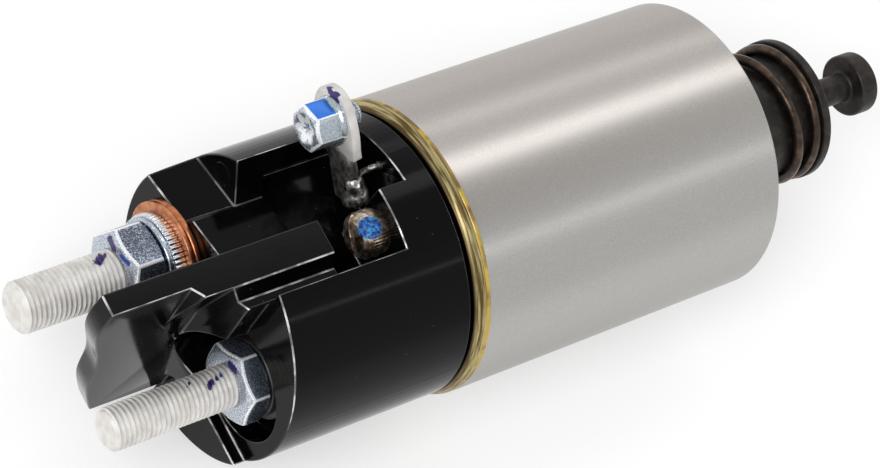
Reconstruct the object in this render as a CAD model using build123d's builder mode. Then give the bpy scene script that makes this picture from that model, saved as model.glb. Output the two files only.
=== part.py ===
from build123d import *
from math import cos, radians, sin, tan
import os

os.makedirs("parts", exist_ok=True)

# A heavy starter solenoid. Its axis is X and the plunger points along +X.
# The origin is the centre of the mounting face, where the case meets the
# drive housing. The two big studs lie level, one on each side of the X-Z
# plane, and the switch terminal is on top.

# Case
case_radius = 35.0
case_length = 85.0
case_wall = 3.2
end_wall = 9.0
end_round = 0.4
lip_length = 3.4
lip_draw = 1.35
bead_right = 0.9
bead_left = 2.1
bead_proud = 0.25
rim_wall = 1.7

# Mounting holes in the end wall
mount_circle = 52.0
mount_count = 3
tap_radius = 2.5
tap_depth = 7.5

# Plunger, its guide sleeve and its stroke
plunger_radius = 14.5
plunger_length = 59.9
plunger_reach = 30.2
plunger_travel = 12.0
running_clearance = 0.06
stop_gap = 0.3
sleeve_wall = 0.85
fit_clearance = 0.05
neck_radius = 12.0
neck_length = 4.6
plunger_bore = 8.0
bore_floor = 15.7

# Shift stem with its knob
stem_radius = 3.6
stem_length = 17.2
knob_radius = 7.7
knob_thickness = 5.2
stem_head_thickness = 4.0
plug_length = 6.0

# Springs
return_wire = 1.25
return_turns = 3.4
spring_pocket = 1.5
retainer_radius = 17.5
retainer_thickness = 2.3
retainer_round = 0.5
clip_thickness = 1.2
clip_width = 2.2
clip_groove = 0.6
clip_mouth = 7.0
drive_wire = 0.9
drive_turns = 9.0
contact_wire = 0.5
contact_turns = 5.0
reset_wire = 0.45
reset_turns = 6.0
spring_gap = 0.3

# Bobbin and windings
bobbin_tube = 1.4
bobbin_cheek = 2.2
bobbin_gap = 0.3
hold_winding_share = 0.42
winding_gap = 0.3
winding_inset = 1.0
lead_radius = 0.7
lead_y = 10.5
lead_side = 2.4
lead_inset = 1.9
lead_bend = 1.5
lead_hole_gap = 0.1
solder_radius = 3.0

# Core plate, gasket and cap insert
core_plate = 8.0
core_side_gap = 0.12
gasket = 1.2
gasket_width = 5.18
cap_insert = 6.0

# Contact set
rod_radius = 2.5
rod_clearance = 0.08
contact_travel = 3.0
contact_gap = 0.05
disc_radius = 22.0
disc_thickness = 3.0
bush_wall = 1.8
bush_flange = 1.2
bush_flange_radius = 6.5
rod_tail = 3.0
push_gap = 0.25
rod_collar = 1.5
rod_collar_radius = 5.6
rod_clip_radius = 5.0

# Cap moulding
skirt_step = 1.2
skirt_gap = 1.0
skirt_length = 47.2
groove_depth = 1.5
chamber_gap = 2.7
chamber_depth = 14.0
reset_bore = 6.0
reset_depth = 10.0

# Top of the cap: barrier, floor, trough and switch terminal pocket
barrier_top = 30.0
barrier_bottom = -28.0
barrier_far = 2.6
barrier_near = -2.7
barrier_reach = 36.7
barrier_waist = 14.7
shoulder_near = -10.3
shoulder_reach = 9.5
shoulder_angle = 30.0
shoulder_bottom = -22.0
shoulder_lean = 5.3
collar_near = -5.7
collar_foot = 14.7
collar_reach = 16.9
collar_bevel = 1.9
near_wall = -10.9
trough_height = 26.6
deck_edge = 17.0
deck_height = 14.3
deck_slope = 16.0
deck_step = 3.9
deck_step_run = 1.6
far_wall_start = 11.1
far_wall_lean = 30.5
pocket_wall = 13.6
pocket_length = 15.0
pocket_floor = 12.0
pocket_far = 22.5
step_side = 3.5
step_length = 7.0
step_floor = 23.1

# Studs and what is on them
stud_spacing = 32.6
stud_drop = 1.0
battery_thread = 6.0
battery_pitch_radius = 5.43
motor_thread = 5.0
motor_pitch_radius = 4.51
thread_gap = 0.3
stud_hole_gap = 0.05
washer_gap = 0.3
battery_reach = 40.4
motor_reach = 34.4
stud_chamfer = 0.9
head_thickness = 4.5
battery_head = 9.0
motor_head = 8.0
seal_thickness = 1.2
motor_pocket_depth = 6.1
motor_pocket = 14.0
lobe_reach = 3.0
lobe_top = -16.0

battery_washer_radius = 13.0
battery_washer = 2.7
lock_washer_radius = 10.9
lock_washer = 2.6
spring_washer_radius = 10.4
spring_washer = 1.4
battery_nut_flats = 19.0
battery_nut = 8.6
motor_flat_radius = 10.5
motor_flat = 1.6
motor_spring_radius = 9.2
motor_spring = 1.9
motor_nut_flats = 17.0
motor_nut = 6.0
nut_chamfer = 0.9

# Switch terminal and earth screw
tab_thickness = 2.2
tab_width = 13.0
tab_back = 2.0
tab_leg_width = 8.0
screw_y = 22.7
screw_z = 31.1
tab_angle = 30.0
leg_angle = 54.0
tab_nose = 1.3
leg_bend = 5.0
leg_tilt = 10.0
leg_length = 17.0
screw_thread = 3.0
screw_flats = 10.0
screw_head = 5.6
screw_flange_radius = 6.4
screw_flange = 1.3
screw_tip = 4.0
earth_y = -2.6
earth_z = 25.0
earth_head_radius = 5.4
earth_head = 6.6
earth_thread = 2.5
earth_depth = 8.0
earth_slot = 1.3
earth_slot_depth = 1.5
earth_slot_angle = 36.0

# Places along the axis, worked out from the sizes above
open_end = -case_length
lip_end = open_end - lip_length
skirt_radius = case_radius - skirt_step
groove_radius = skirt_radius - groove_depth
chamber_radius = stud_spacing / 2 + battery_head + chamber_gap
cap_inner_end = open_end + cap_insert
gasket_end = cap_inner_end + gasket
core_end = gasket_end + core_plate
case_bore = case_radius - case_wall
rim_bore = case_radius - rim_wall
sleeve_bore = plunger_radius + running_clearance
sleeve_radius = sleeve_bore + sleeve_wall
plunger_inner = plunger_reach - plunger_length
core_face = plunger_inner - plunger_travel - stop_gap
skirt_start = lip_end - skirt_gap
skirt_end = skirt_start - skirt_length
chamber_floor = cap_inner_end - chamber_depth
head_face = chamber_floor + seal_thickness + head_thickness
disc_left = head_face + contact_travel + contact_gap
disc_right = disc_left + disc_thickness
battery_y = stud_spacing / 2
motor_y = -stud_spacing / 2
motor_seat = skirt_end + motor_pocket_depth
neck_end = plunger_reach + neck_length
knob_start = neck_end + stem_length
stem_head_left = plunger_inner + bore_floor + stop_gap
retainer_end = plunger_reach + retainer_thickness
return_radius = plunger_radius + return_wire + 0.25
pocket_right = skirt_start - pocket_wall
pocket_left = pocket_right - pocket_length
barrier_tip = skirt_end - barrier_reach
shoulder_end = skirt_end - shoulder_reach
collar_end = skirt_end - collar_reach
washer_left = skirt_end - battery_washer
lock_left = washer_left - lock_washer
ring_left = lock_left - spring_washer
battery_nut_left = ring_left - battery_nut
motor_flat_left = motor_seat - motor_flat
motor_spring_left = motor_flat_left - motor_spring
motor_nut_left = motor_spring_left - motor_nut
tab_right = pocket_right + tab_back
tab_left = tab_right - tab_thickness
earth_left = pocket_right - earth_head
rod_right = core_face + stop_gap - push_gap + contact_travel
rod_clip_right = disc_left - bush_flange
rod_clip_left = rod_clip_right - clip_thickness
rod_left = rod_clip_left - rod_tail
collar_right = core_end - 1.0 - stop_gap
collar_left = collar_right - rod_collar
bore_end = plunger_inner + bore_floor
stem_head_right = stem_head_left + stem_head_thickness
knob_end = knob_start + knob_thickness
lead_circle = case_bore - bobbin_gap - lead_inset
lead_z = (lead_circle**2 - lead_y**2) ** 0.5
motor_lead_y = motor_y - motor_head - lead_radius


def lathe(points, y=0.0, z=0.0, mode=Mode.ADD):
    """Turn a closed (x, radius) profile about the line through (y, z) along X."""
    with BuildSketch(Plane.XY.offset(z)) as profile:
        with BuildLine():
            Polyline(*[(x, y + radius) for x, radius in points], close=True)
        make_face()
    revolve(profile.sketch, axis=Axis((0, y, z), (1, 0, 0)), mode=mode)


def ring(left, right, inner, outer, y=0.0, z=0.0, mode=Mode.ADD):
    """A plain ring or disc from left to right along X."""
    lathe([(left, inner), (right, inner), (right, outer), (left, outer)], y, z, mode)


def hexagon(left, right, flats, corner_angle, y, z, corner):
    """A hexagon head or nut with its corners turned off at both ends."""
    with BuildSketch(Plane.YZ.offset(left)) as outline:
        with Locations((y, z)):
            RegularPolygon(flats / 2, 6, major_radius=False, rotation=corner_angle)
    extrude(outline.sketch, amount=right - left)
    tip = flats / 3**0.5
    lathe(
        [
            (left, 0),
            (left, tip - 1.7 * corner),
            (left + corner, tip),
            (right - corner, tip),
            (right, tip - 1.7 * corner),
            (right, 0),
        ],
        y,
        z,
        Mode.INTERSECT,
    )


lead_hole = lead_radius + lead_hole_gap


def lead_holes(left, right):
    """Holes for the switch lead and for the motor lead."""
    for y, z in ((lead_y, lead_z), (motor_lead_y, -stud_drop)):
        ring(left, right, 0, lead_hole, y, z, Mode.SUBTRACT)


def coil(left, right, radius, wire, turns):
    """A round-wire compression spring about X; its ends lie inside left and right."""
    height = right - left - 2 * wire
    with BuildLine() as path:
        Helix(height / turns, height, radius, center=(left + wire, 0, 0), direction=(1, 0, 0))
    with BuildSketch(Plane(origin=path.line @ 0, z_dir=path.line % 0)) as section:
        Circle(wire)
    sweep(section.sketch, path=path.line, is_frenet=True)


# Steel case: the end wall closes it, and its open rim is rolled in over the cap
with BuildPart() as case:
    lathe(
        [
            (0, sleeve_radius + fit_clearance),
            (0, case_radius),
            (open_end, case_radius),
            (lip_end, case_radius - lip_draw),
            (lip_end, case_radius - lip_draw - 1.0),
            (open_end - 0.3, rim_bore),
            (core_end, rim_bore),
            (core_end, case_bore),
            (-end_wall, case_bore),
            (-end_wall, sleeve_radius + fit_clearance),
        ]
    )
    front_rim = case.edges().filter_by(GeomType.CIRCLE).group_by(Axis.X)[-1].sort_by(SortBy.RADIUS)[-1]
    fillet(front_rim, end_round)
    # recess that seats the return spring
    ring(-spring_pocket, 0, sleeve_bore, return_radius + return_wire + 0.6, mode=Mode.SUBTRACT)
    with BuildSketch(Plane.YZ):
        with PolarLocations(mount_circle / 2, mount_count, start_angle=90):
            Circle(tap_radius)
    extrude(amount=-tap_depth, mode=Mode.SUBTRACT)
case.part.label = "case"
export_step(case.part, "parts/case.step")

# Lacquer bead that seals the rolled rim
with BuildPart() as sealant_ring:
    lathe(
        [
            (open_end + bead_right, case_radius),
            (open_end + 0.45 * bead_right, case_radius + bead_proud),
            (open_end - 0.25 * bead_left, case_radius + 0.8 * bead_proud),
            (open_end - bead_left, case_radius - 0.5 * lip_draw),
            (open_end - bead_left, case_radius - lip_draw * bead_left / lip_length),
            (open_end, case_radius),
        ]
    )
sealant_ring.part.label = "sealant_ring"
export_step(sealant_ring.part, "parts/sealant_ring.step")

# Brass sleeve that guides the plunger, from the spring recess to the core plate
with BuildPart() as guide_sleeve:
    ring(core_end + bobbin_gap, -spring_pocket, sleeve_bore, sleeve_radius)
guide_sleeve.part.label = "guide_sleeve"
export_step(guide_sleeve.part, "parts/guide_sleeve.step")

# Bobbin, with a cheek at each end and a hole for each lead
bobbin_left = core_end + bobbin_gap
bobbin_right = -end_wall - bobbin_gap
bobbin_inner = sleeve_radius + fit_clearance
bobbin_outer = case_bore - bobbin_gap
winding_left = bobbin_left + bobbin_cheek
winding_right = bobbin_right - bobbin_cheek
winding_inner = bobbin_inner + bobbin_tube
with BuildPart() as bobbin:
    ring(bobbin_left, bobbin_right, bobbin_inner, winding_inner)
    ring(bobbin_left, winding_left, bobbin_inner, bobbin_outer)
    ring(winding_right, bobbin_right, bobbin_inner, bobbin_outer)
    lead_holes(bobbin_left, winding_left)
bobbin.part.label = "bobbin"
export_step(bobbin.part, "parts/bobbin.step")

# Hold-in winding inside, pull-in winding outside it
winding_outer = bobbin_outer - winding_inset
hold_outer = winding_inner + hold_winding_share * (winding_outer - winding_gap - winding_inner)
with BuildPart() as hold_in_winding:
    ring(winding_left, winding_right, winding_inner, hold_outer)
hold_in_winding.part.label = "hold_in_winding"
export_step(hold_in_winding.part, "parts/hold_in_winding.step")

with BuildPart() as pull_in_winding:
    ring(winding_left, winding_right, hold_outer + winding_gap, winding_outer)
pull_in_winding.part.label = "pull_in_winding"
export_step(pull_in_winding.part, "parts/pull_in_winding.step")

# Stationary core: a plate across the case and a boss inside the sleeve
core_bore = rod_radius + rod_clearance
insert_radius = rim_bore - core_side_gap
spring_well = bush_flange_radius + 0.6
with BuildPart() as core_plate_part:
    ring(gasket_end, core_end, core_bore, insert_radius)
    ring(core_end, core_face, core_bore, plunger_radius)
    # well for the contact spring
    ring(gasket_end, core_end - 1.0, core_bore, spring_well, mode=Mode.SUBTRACT)
    lead_holes(gasket_end, core_end)
core_plate_part.part.label = "core_plate"
export_step(core_plate_part.part, "parts/core_plate.step")

with BuildPart() as core_gasket:
    ring(cap_inner_end, gasket_end, insert_radius - gasket_width, insert_radius)
    ring(cap_inner_end, gasket_end, 0, lead_hole, lead_y, lead_z, Mode.SUBTRACT)
core_gasket.part.label = "core_gasket"
export_step(core_gasket.part, "parts/core_gasket.step")

# Room above the low deck, which rises from the skirt's end to the front face of the far wall
top = skirt_radius + 2
slope = tan(radians(deck_slope))
low_deck_y = deck_edge + deck_step_run
low_deck_z = deck_height - deck_step
low_deck_rise = (deck_step - deck_step_run * slope) / far_wall_start
with BuildPart() as low_deck_room:
    with BuildSketch(Plane.YZ.offset(skirt_end - 1)):
        with BuildLine():
            Polyline(
                (deck_edge, top),
                (deck_edge, deck_height),
                (low_deck_y, low_deck_z),
                (low_deck_y, 0),
                (top, 0),
                (top, top),
                close=True,
            )
        make_face()
    extrude(amount=far_wall_start + 1)
    low_deck = Plane(origin=(skirt_end, low_deck_y, low_deck_z), z_dir=(-low_deck_rise, slope, 1))
    split(bisect_by=low_deck, keep=Keep.TOP)

# Terminal cap, one moulding
with BuildPart() as terminal_cap:
    lathe(
        [
            (cap_inner_end, 0),
            (cap_inner_end, insert_radius),
            (open_end - 0.4, insert_radius),
            (open_end - 1.2, groove_radius),
            (skirt_start, groove_radius),
            (skirt_start, skirt_radius),
            (skirt_end, skirt_radius),
            (skirt_end, 0),
        ]
    )
    # lobe under the motor stud
    with BuildSketch(Plane.YZ.offset(skirt_end)):
        Circle(skirt_radius)
        with Locations((barrier_near + 1, lobe_top)):
            Rectangle(2 * skirt_radius, 2 * skirt_radius, align=(Align.MAX, Align.MAX), mode=Mode.INTERSECT)
        with Locations((motor_y, -stud_drop)):
            Circle(motor_pocket, mode=Mode.SUBTRACT)
    extrude(amount=-lobe_reach)
    # shoulder on the near side of the barrier, with an oblique front
    with BuildSketch(Plane.XZ.offset(-barrier_near)):
        with BuildLine():
            Polyline(
                (pocket_left, shoulder_bottom),
                (pocket_left, top + shoulder_reach),
                (shoulder_end, top + shoulder_reach),
                (shoulder_end, -stud_drop),
                (shoulder_end + shoulder_lean, shoulder_bottom),
                close=True,
            )
        make_face()
    extrude(amount=barrier_near - shoulder_near, taper=shoulder_angle)
    # collar: the barrier's upper edge is thicker on the near side, as far as a bevel
    with BuildSketch(Plane.YZ.offset(skirt_end)):
        with BuildLine():
            Polyline(
                (barrier_near, barrier_top),
                (collar_near, barrier_top),
                (barrier_near, collar_foot),
                close=True,
            )
        make_face()
    extrude(amount=-collar_reach)
    with BuildSketch(Plane.XY.offset(collar_foot)):
        with BuildLine():
            Polyline(
                (collar_end, barrier_near),
                (collar_end + collar_bevel, 0.9 * collar_near),
                (collar_end + collar_bevel, 2 * collar_near),
                (collar_end - 1, 2 * collar_near),
                (collar_end - 1, barrier_near),
                close=True,
            )
        make_face()
    extrude(amount=top, mode=Mode.SUBTRACT)
    # barrier between the studs, with its waisted end
    height = barrier_top - barrier_bottom
    with BuildSketch(Plane.XZ.offset(-barrier_far)):
        with BuildLine():
            end_curve = Spline(
                (barrier_tip, barrier_top - 0.06 * height),
                (barrier_tip + 0.048 * barrier_waist, barrier_top - 0.22 * height),
                (barrier_tip + 0.279 * barrier_waist, barrier_top - 0.38 * height),
                (barrier_tip + 0.456 * barrier_waist, barrier_top - 0.53 * height),
                (barrier_tip + 0.537 * barrier_waist, barrier_top - 0.68 * height),
                (barrier_tip + 0.748 * barrier_waist, barrier_top - 0.85 * height),
                (barrier_tip + 0.966 * barrier_waist, barrier_bottom + 0.017 * height),
            )
            Polyline(
                end_curve @ 1,
                (barrier_tip + barrier_waist, barrier_bottom),
                (skirt_end + 1, barrier_bottom),
                (skirt_end + 1, barrier_top),
                (barrier_tip + 0.03 * barrier_waist, barrier_top),
                end_curve @ 0,
            )
        make_face()
    extrude(amount=barrier_far - barrier_near)
    # top of the moulding: trough, barrier, sloping deck and the inner side of the far wall
    wall_run = (top - deck_height) * tan(radians(far_wall_lean))
    with BuildSketch(Plane.YZ.offset(collar_end - 1)):
        with BuildLine():
            Polyline(
                (near_wall, 2 * top),
                (near_wall, trough_height + 0.7),
                (near_wall + 0.7, trough_height),
                (collar_near - 2.2, trough_height),
                (collar_near, barrier_top),
                (barrier_far, barrier_top),
                (barrier_far + 0.3, deck_height + (deck_edge - barrier_far - 0.3) * slope),
                (deck_edge, deck_height),
                (deck_edge + wall_run, top),
                (deck_edge + wall_run, 2 * top),
                close=True,
            )
        make_face()
    extrude(amount=pocket_right - collar_end + 1, mode=Mode.SUBTRACT)
    add(low_deck_room.part, mode=Mode.SUBTRACT)
    # pocket for the switch terminal and the earth screw, with its step
    with BuildSketch(Plane.XY.offset(pocket_floor)):
        with BuildLine():
            Polyline(
                (pocket_left, near_wall),
                (pocket_right, near_wall),
                (pocket_right, step_side),
                (pocket_right + step_length, step_side),
                (pocket_right + step_length, pocket_far),
                (pocket_left, pocket_far),
                close=True,
            )
        make_face()
    extrude(amount=top, mode=Mode.SUBTRACT)
    with BuildSketch(Plane.XY.offset(step_floor)):
        with BuildLine():
            Polyline(
                (pocket_right - 1, pocket_far - 1),
                (pocket_right + step_length, pocket_far - 1),
                (pocket_right + step_length, top),
                (pocket_right - 1, top),
                close=True,
            )
        make_face()
    extrude(amount=top, mode=Mode.SUBTRACT)
    # pocket round the motor stud's nut, cut into the shoulder too
    ring(shoulder_end - 0.5, motor_seat, 0, motor_pocket, motor_y, -stud_drop, Mode.SUBTRACT)
    # contact chamber, bore for the reset spring, and the stud holes
    ring(chamber_floor, cap_inner_end, 0, chamber_radius, mode=Mode.SUBTRACT)
    ring(chamber_floor - reset_depth, chamber_floor, 0, reset_bore, mode=Mode.SUBTRACT)
    for y, shank in ((battery_y, battery_pitch_radius), (motor_y, motor_pitch_radius)):
        ring(skirt_end - 1, chamber_floor, 0, shank + stud_hole_gap, y, -stud_drop, Mode.SUBTRACT)
    earth_hole = earth_thread + stud_hole_gap
    ring(pocket_right, pocket_right + earth_depth, 0, earth_hole, earth_y, earth_z, Mode.SUBTRACT)
    # passage for the switch lead
    ring(pocket_right, cap_inner_end, 0, lead_hole, lead_y, lead_z, Mode.SUBTRACT)
terminal_cap.part.label = "terminal_cap"
export_step(terminal_cap.part, "parts/terminal_cap.step")


# Studs, each turned with its contact head inside the cap
def stud(head_radius, thread, shank, nut_left, reach, y):
    """A stud: contact head on a seal, a shank through the cap and the nut, and the free thread.

    The thread is rolled on a bar of its pitch radius, so the shank keeps that radius, and
    a nut meets the thread there. The free thread has its full radius.
    """
    tip = skirt_end - reach
    thread_start = nut_left - thread_gap
    lathe(
        [
            (head_face, 0),
            (head_face, head_radius),
            (head_face - head_thickness, head_radius),
            (head_face - head_thickness, shank),
            (thread_start, shank),
            (thread_start, thread),
            (tip + stud_chamfer, thread),
            (tip, thread - stud_chamfer),
            (tip, 0),
        ],
        y,
        -stud_drop,
    )


with BuildPart() as battery_stud:
    stud(battery_head, battery_thread, battery_pitch_radius, battery_nut_left, battery_reach, battery_y)
battery_stud.part.label = "battery_stud"
export_step(battery_stud.part, "parts/battery_stud.step")

with BuildPart() as motor_stud:
    stud(motor_head, motor_thread, motor_pitch_radius, motor_nut_left, motor_reach, motor_y)
motor_stud.part.label = "motor_stud"
export_step(motor_stud.part, "parts/motor_stud.step")

seal_end = head_face - head_thickness
with BuildPart() as battery_stud_seal:
    ring(chamber_floor, seal_end, battery_pitch_radius, battery_head - 1, battery_y, -stud_drop)
battery_stud_seal.part.label = "battery_stud_seal"
export_step(battery_stud_seal.part, "parts/battery_stud_seal.step")

with BuildPart() as motor_stud_seal:
    ring(chamber_floor, seal_end, motor_pitch_radius, motor_head - 1, motor_y, -stud_drop)
motor_stud_seal.part.label = "motor_stud_seal"
export_step(motor_stud_seal.part, "parts/motor_stud_seal.step")

# Copper washer, serrated lock washer, spring washer and nut on the battery stud
washer_bore = battery_thread + washer_gap
with BuildPart() as battery_copper_washer:
    ring(washer_left, skirt_end, washer_bore, battery_washer_radius, battery_y, -stud_drop)
battery_copper_washer.part.label = "battery_copper_washer"
export_step(battery_copper_washer.part, "parts/battery_copper_washer.step")

with BuildPart() as battery_lock_washer:
    ring(lock_left, washer_left, washer_bore, lock_washer_radius, battery_y, -stud_drop)
battery_lock_washer.part.label = "battery_lock_washer"
export_step(battery_lock_washer.part, "parts/battery_lock_washer.step")

with BuildPart() as battery_spring_washer:
    ring(ring_left, lock_left, washer_bore, spring_washer_radius, battery_y, -stud_drop)
battery_spring_washer.part.label = "battery_spring_washer"
export_step(battery_spring_washer.part, "parts/battery_spring_washer.step")

nut_bore = battery_pitch_radius + fit_clearance
with BuildPart() as battery_nut_part:
    hexagon(battery_nut_left, ring_left, battery_nut_flats, 50, battery_y, -stud_drop, nut_chamfer)
    ring(battery_nut_left, ring_left, 0, nut_bore, battery_y, -stud_drop, Mode.SUBTRACT)
battery_nut_part.part.label = "battery_nut"
export_step(battery_nut_part.part, "parts/battery_nut.step")

# Flat washer, spring washer and nut on the motor stud, down in their pocket
motor_washer_bore = motor_thread + washer_gap
with BuildPart() as motor_flat_washer:
    ring(motor_flat_left, motor_seat, motor_washer_bore, motor_flat_radius, motor_y, -stud_drop)
motor_flat_washer.part.label = "motor_flat_washer"
export_step(motor_flat_washer.part, "parts/motor_flat_washer.step")

with BuildPart() as motor_spring_washer:
    ring(motor_spring_left, motor_flat_left, motor_washer_bore, motor_spring_radius, motor_y, -stud_drop)
motor_spring_washer.part.label = "motor_spring_washer"
export_step(motor_spring_washer.part, "parts/motor_spring_washer.step")

motor_nut_bore = motor_pitch_radius + fit_clearance
with BuildPart() as motor_nut_part:
    hexagon(motor_nut_left, motor_spring_left, motor_nut_flats, 20.5, motor_y, -stud_drop, nut_chamfer)
    ring(motor_nut_left, motor_spring_left, 0, motor_nut_bore, motor_y, -stud_drop, Mode.SUBTRACT)
motor_nut_part.part.label = "motor_nut"
export_step(motor_nut_part.part, "parts/motor_nut.step")

# Switch terminal: a round-ended blade, and a leg bent back and standing on the pocket floor
blade = Plane(
    origin=(tab_left, screw_y, screw_z),
    x_dir=(0, cos(radians(tab_angle)), sin(radians(tab_angle))),
    z_dir=(1, 0, 0),
)
across = (cos(radians(leg_angle)), sin(radians(leg_angle)))
back, along = sin(radians(leg_tilt)), cos(radians(leg_tilt))
leg = Plane(
    origin=(tab_left, screw_y - leg_bend * across[0], screw_z - leg_bend * across[1]),
    x_dir=(back, -along * across[0], -along * across[1]),
    z_dir=(along, back * across[0], back * across[1]),
)
with BuildPart() as switch_terminal:
    with BuildSketch(blade):
        Circle(tab_width / 2)
        with Locations((tab_nose, 0)):
            Circle(tab_width / 2)
            Rectangle(tab_nose, tab_width, align=(Align.MAX, Align.CENTER))
    extrude(amount=tab_thickness)
    with BuildSketch(leg):
        Rectangle(leg_length, tab_leg_width, align=(Align.MIN, Align.CENTER))
    extrude(amount=tab_thickness)
    ring(tab_left, tab_right, 0, screw_thread + fit_clearance, screw_y, screw_z, Mode.SUBTRACT)
    with BuildSketch(Plane.XY.offset(pocket_floor)):
        with Locations((tab_left, screw_y)):
            Rectangle(4 * leg_length, 4 * leg_length)
    extrude(amount=-leg_length, mode=Mode.SUBTRACT)
switch_terminal.part.label = "switch_terminal"
export_step(switch_terminal.part, "parts/switch_terminal.step")

# Hexagon screw with a flange, through the blade
flange_left = tab_left - screw_flange
screw_end = tab_right + screw_tip
with BuildPart() as switch_screw:
    hexagon(flange_left - screw_head, flange_left, screw_flats, 40, screw_y, screw_z, 0.7)
    lathe(
        [
            (flange_left, 0),
            (flange_left, screw_flange_radius - 0.7),
            (tab_left - 0.5, screw_flange_radius),
            (tab_left, screw_flange_radius),
            (tab_left, screw_thread),
            (screw_end - 0.6, screw_thread),
            (screw_end, screw_thread - 0.6),
            (screw_end, 0),
        ],
        screw_y,
        screw_z,
    )
switch_screw.part.label = "switch_screw"
export_step(switch_screw.part, "parts/switch_screw.step")


# Switch lead: out of the pull-in winding, through core plate and cap, down the leg
leg_back = leg.offset(tab_thickness)
lead_lift = lead_radius + lead_hole_gap
with BuildPart() as switch_lead:
    with BuildLine():
        lead_turn = (pocket_right + step_length - 1.3 * lead_bend, lead_y, lead_z)
        lead_foot = leg_back.from_local_coords((0.6 * leg_length, -lead_side, lead_lift))
        lead_tip = leg_back.from_local_coords((0.8 * leg_length, -lead_side, lead_lift))
        FilletPolyline((winding_left, lead_y, lead_z), lead_turn, lead_foot, lead_tip, radius=lead_bend)
    with BuildSketch(Plane(origin=(winding_left, lead_y, lead_z), z_dir=(-1, 0, 0))):
        Circle(lead_radius)
    sweep()
switch_lead.part.label = "switch_lead"
export_step(switch_lead.part, "parts/switch_lead.step")

# Solder over the end of the lead
with BuildPart() as solder_joint:
    solder_seat = leg_back.from_local_coords((0.75 * leg_length, -0.5 * lead_side, 0))
    with BuildSketch(Plane(origin=solder_seat, x_dir=leg.z_dir, z_dir=leg.x_dir)) as dome:
        with BuildLine():
            Line((0, 0), (0, solder_radius))
            ThreePointArc(
                (0, solder_radius), (0.55 * solder_radius, 0.6 * solder_radius), (0.75 * solder_radius, 0)
            )
            Line((0.75 * solder_radius, 0), (0, 0))
        make_face()
    revolve(dome.sketch, axis=Axis(solder_seat, leg.z_dir))
    add(switch_lead.part, mode=Mode.SUBTRACT)
solder_joint.part.label = "solder_joint"
export_step(solder_joint.part, "parts/solder_joint.step")

# Motor lead: straight from the pull-in winding to the side of the motor stud's head
with BuildPart() as motor_lead:
    ring(seal_end + 1, winding_left, 0, lead_radius, motor_lead_y, -stud_drop)
motor_lead.part.label = "motor_lead"
export_step(motor_lead.part, "parts/motor_lead.step")

# Earth screw, slotted, against the right wall of the pocket
with BuildPart() as earth_screw:
    lathe(
        [
            (earth_left, 0),
            (earth_left, 0.6 * earth_head_radius),
            (earth_left + 0.1 * earth_head, 0.87 * earth_head_radius),
            (earth_left + 0.3 * earth_head, earth_head_radius),
            (pocket_right - 0.12 * earth_head, earth_head_radius),
            (pocket_right, 0.93 * earth_head_radius),
            (pocket_right, earth_thread),
            (pocket_right + earth_depth, earth_thread),
            (pocket_right + earth_depth, 0),
        ],
        earth_y,
        earth_z,
    )
    with BuildSketch(Plane.YZ.offset(earth_left)):
        with Locations((earth_y, earth_z)):
            Rectangle(2 * earth_head_radius + 1, earth_slot, rotation=earth_slot_angle)
    extrude(amount=earth_slot_depth, mode=Mode.SUBTRACT)
earth_screw.part.label = "earth_screw"
export_step(earth_screw.part, "parts/earth_screw.step")

# Plunger, bored for the shift stem, with a neck for the spring retainer
groove_end = retainer_end + clip_thickness
with BuildPart() as plunger:
    lathe(
        [
            (plunger_inner, 0),
            (plunger_inner, plunger_radius - 0.8),
            (plunger_inner + 0.8, plunger_radius),
            (plunger_reach, plunger_radius),
            (plunger_reach, neck_radius),
            (retainer_end, neck_radius),
            (retainer_end, neck_radius - clip_groove),
            (groove_end, neck_radius - clip_groove),
            (groove_end, neck_radius),
            (neck_end - 0.5, neck_radius),
            (neck_end, neck_radius - 0.5),
            (neck_end, plunger_bore),
            (bore_end, plunger_bore),
            (bore_end, 0),
        ]
    )
plunger.part.label = "plunger"
export_step(plunger.part, "parts/plunger.step")

# Guide plug in the mouth of the plunger's bore
with BuildPart() as guide_plug:
    ring(neck_end - plug_length, neck_end, stem_radius + rod_clearance, plunger_bore)
guide_plug.part.label = "guide_plug"
export_step(guide_plug.part, "parts/guide_plug.step")

# Disc that holds the return spring, and the open clip that holds the disc
with BuildPart() as spring_retainer:
    ring(plunger_reach, retainer_end, neck_radius, retainer_radius)
    rims = spring_retainer.edges().filter_by(GeomType.CIRCLE).group_by(SortBy.RADIUS)[-1]
    fillet(rims, retainer_round)
spring_retainer.part.label = "spring_retainer"
export_step(spring_retainer.part, "parts/spring_retainer.step")

with BuildPart() as retainer_clip:
    ring(retainer_end, groove_end, neck_radius - clip_groove, neck_radius + clip_width)
    with BuildSketch(Plane.YZ.offset(retainer_end)):
        Rectangle(clip_mouth, 2 * neck_radius, align=(Align.CENTER, Align.MAX))
    extrude(amount=clip_thickness, mode=Mode.SUBTRACT)
retainer_clip.part.label = "retainer_clip"
export_step(retainer_clip.part, "parts/retainer_clip.step")

with BuildPart() as return_spring:
    coil(-spring_pocket, plunger_reach, return_radius, return_wire, return_turns)
return_spring.part.label = "return_spring"
export_step(return_spring.part, "parts/return_spring.step")

# Shift stem: head in the bore, stem through the plug, knob for the lever's fork
with BuildPart() as shift_stem:
    lathe(
        [
            (stem_head_left, 0),
            (stem_head_left, plunger_bore - 0.5),
            (stem_head_right, plunger_bore - 0.5),
            (stem_head_right, stem_radius),
            (knob_start, stem_radius),
            (knob_start, knob_radius - 0.5),
            (knob_start + 0.5, knob_radius),
            (knob_end - 0.9, knob_radius),
            (knob_end, knob_radius - 1.4),
            (knob_end, 0),
        ]
    )
shift_stem.part.label = "shift_stem"
export_step(shift_stem.part, "parts/shift_stem.step")

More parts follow.
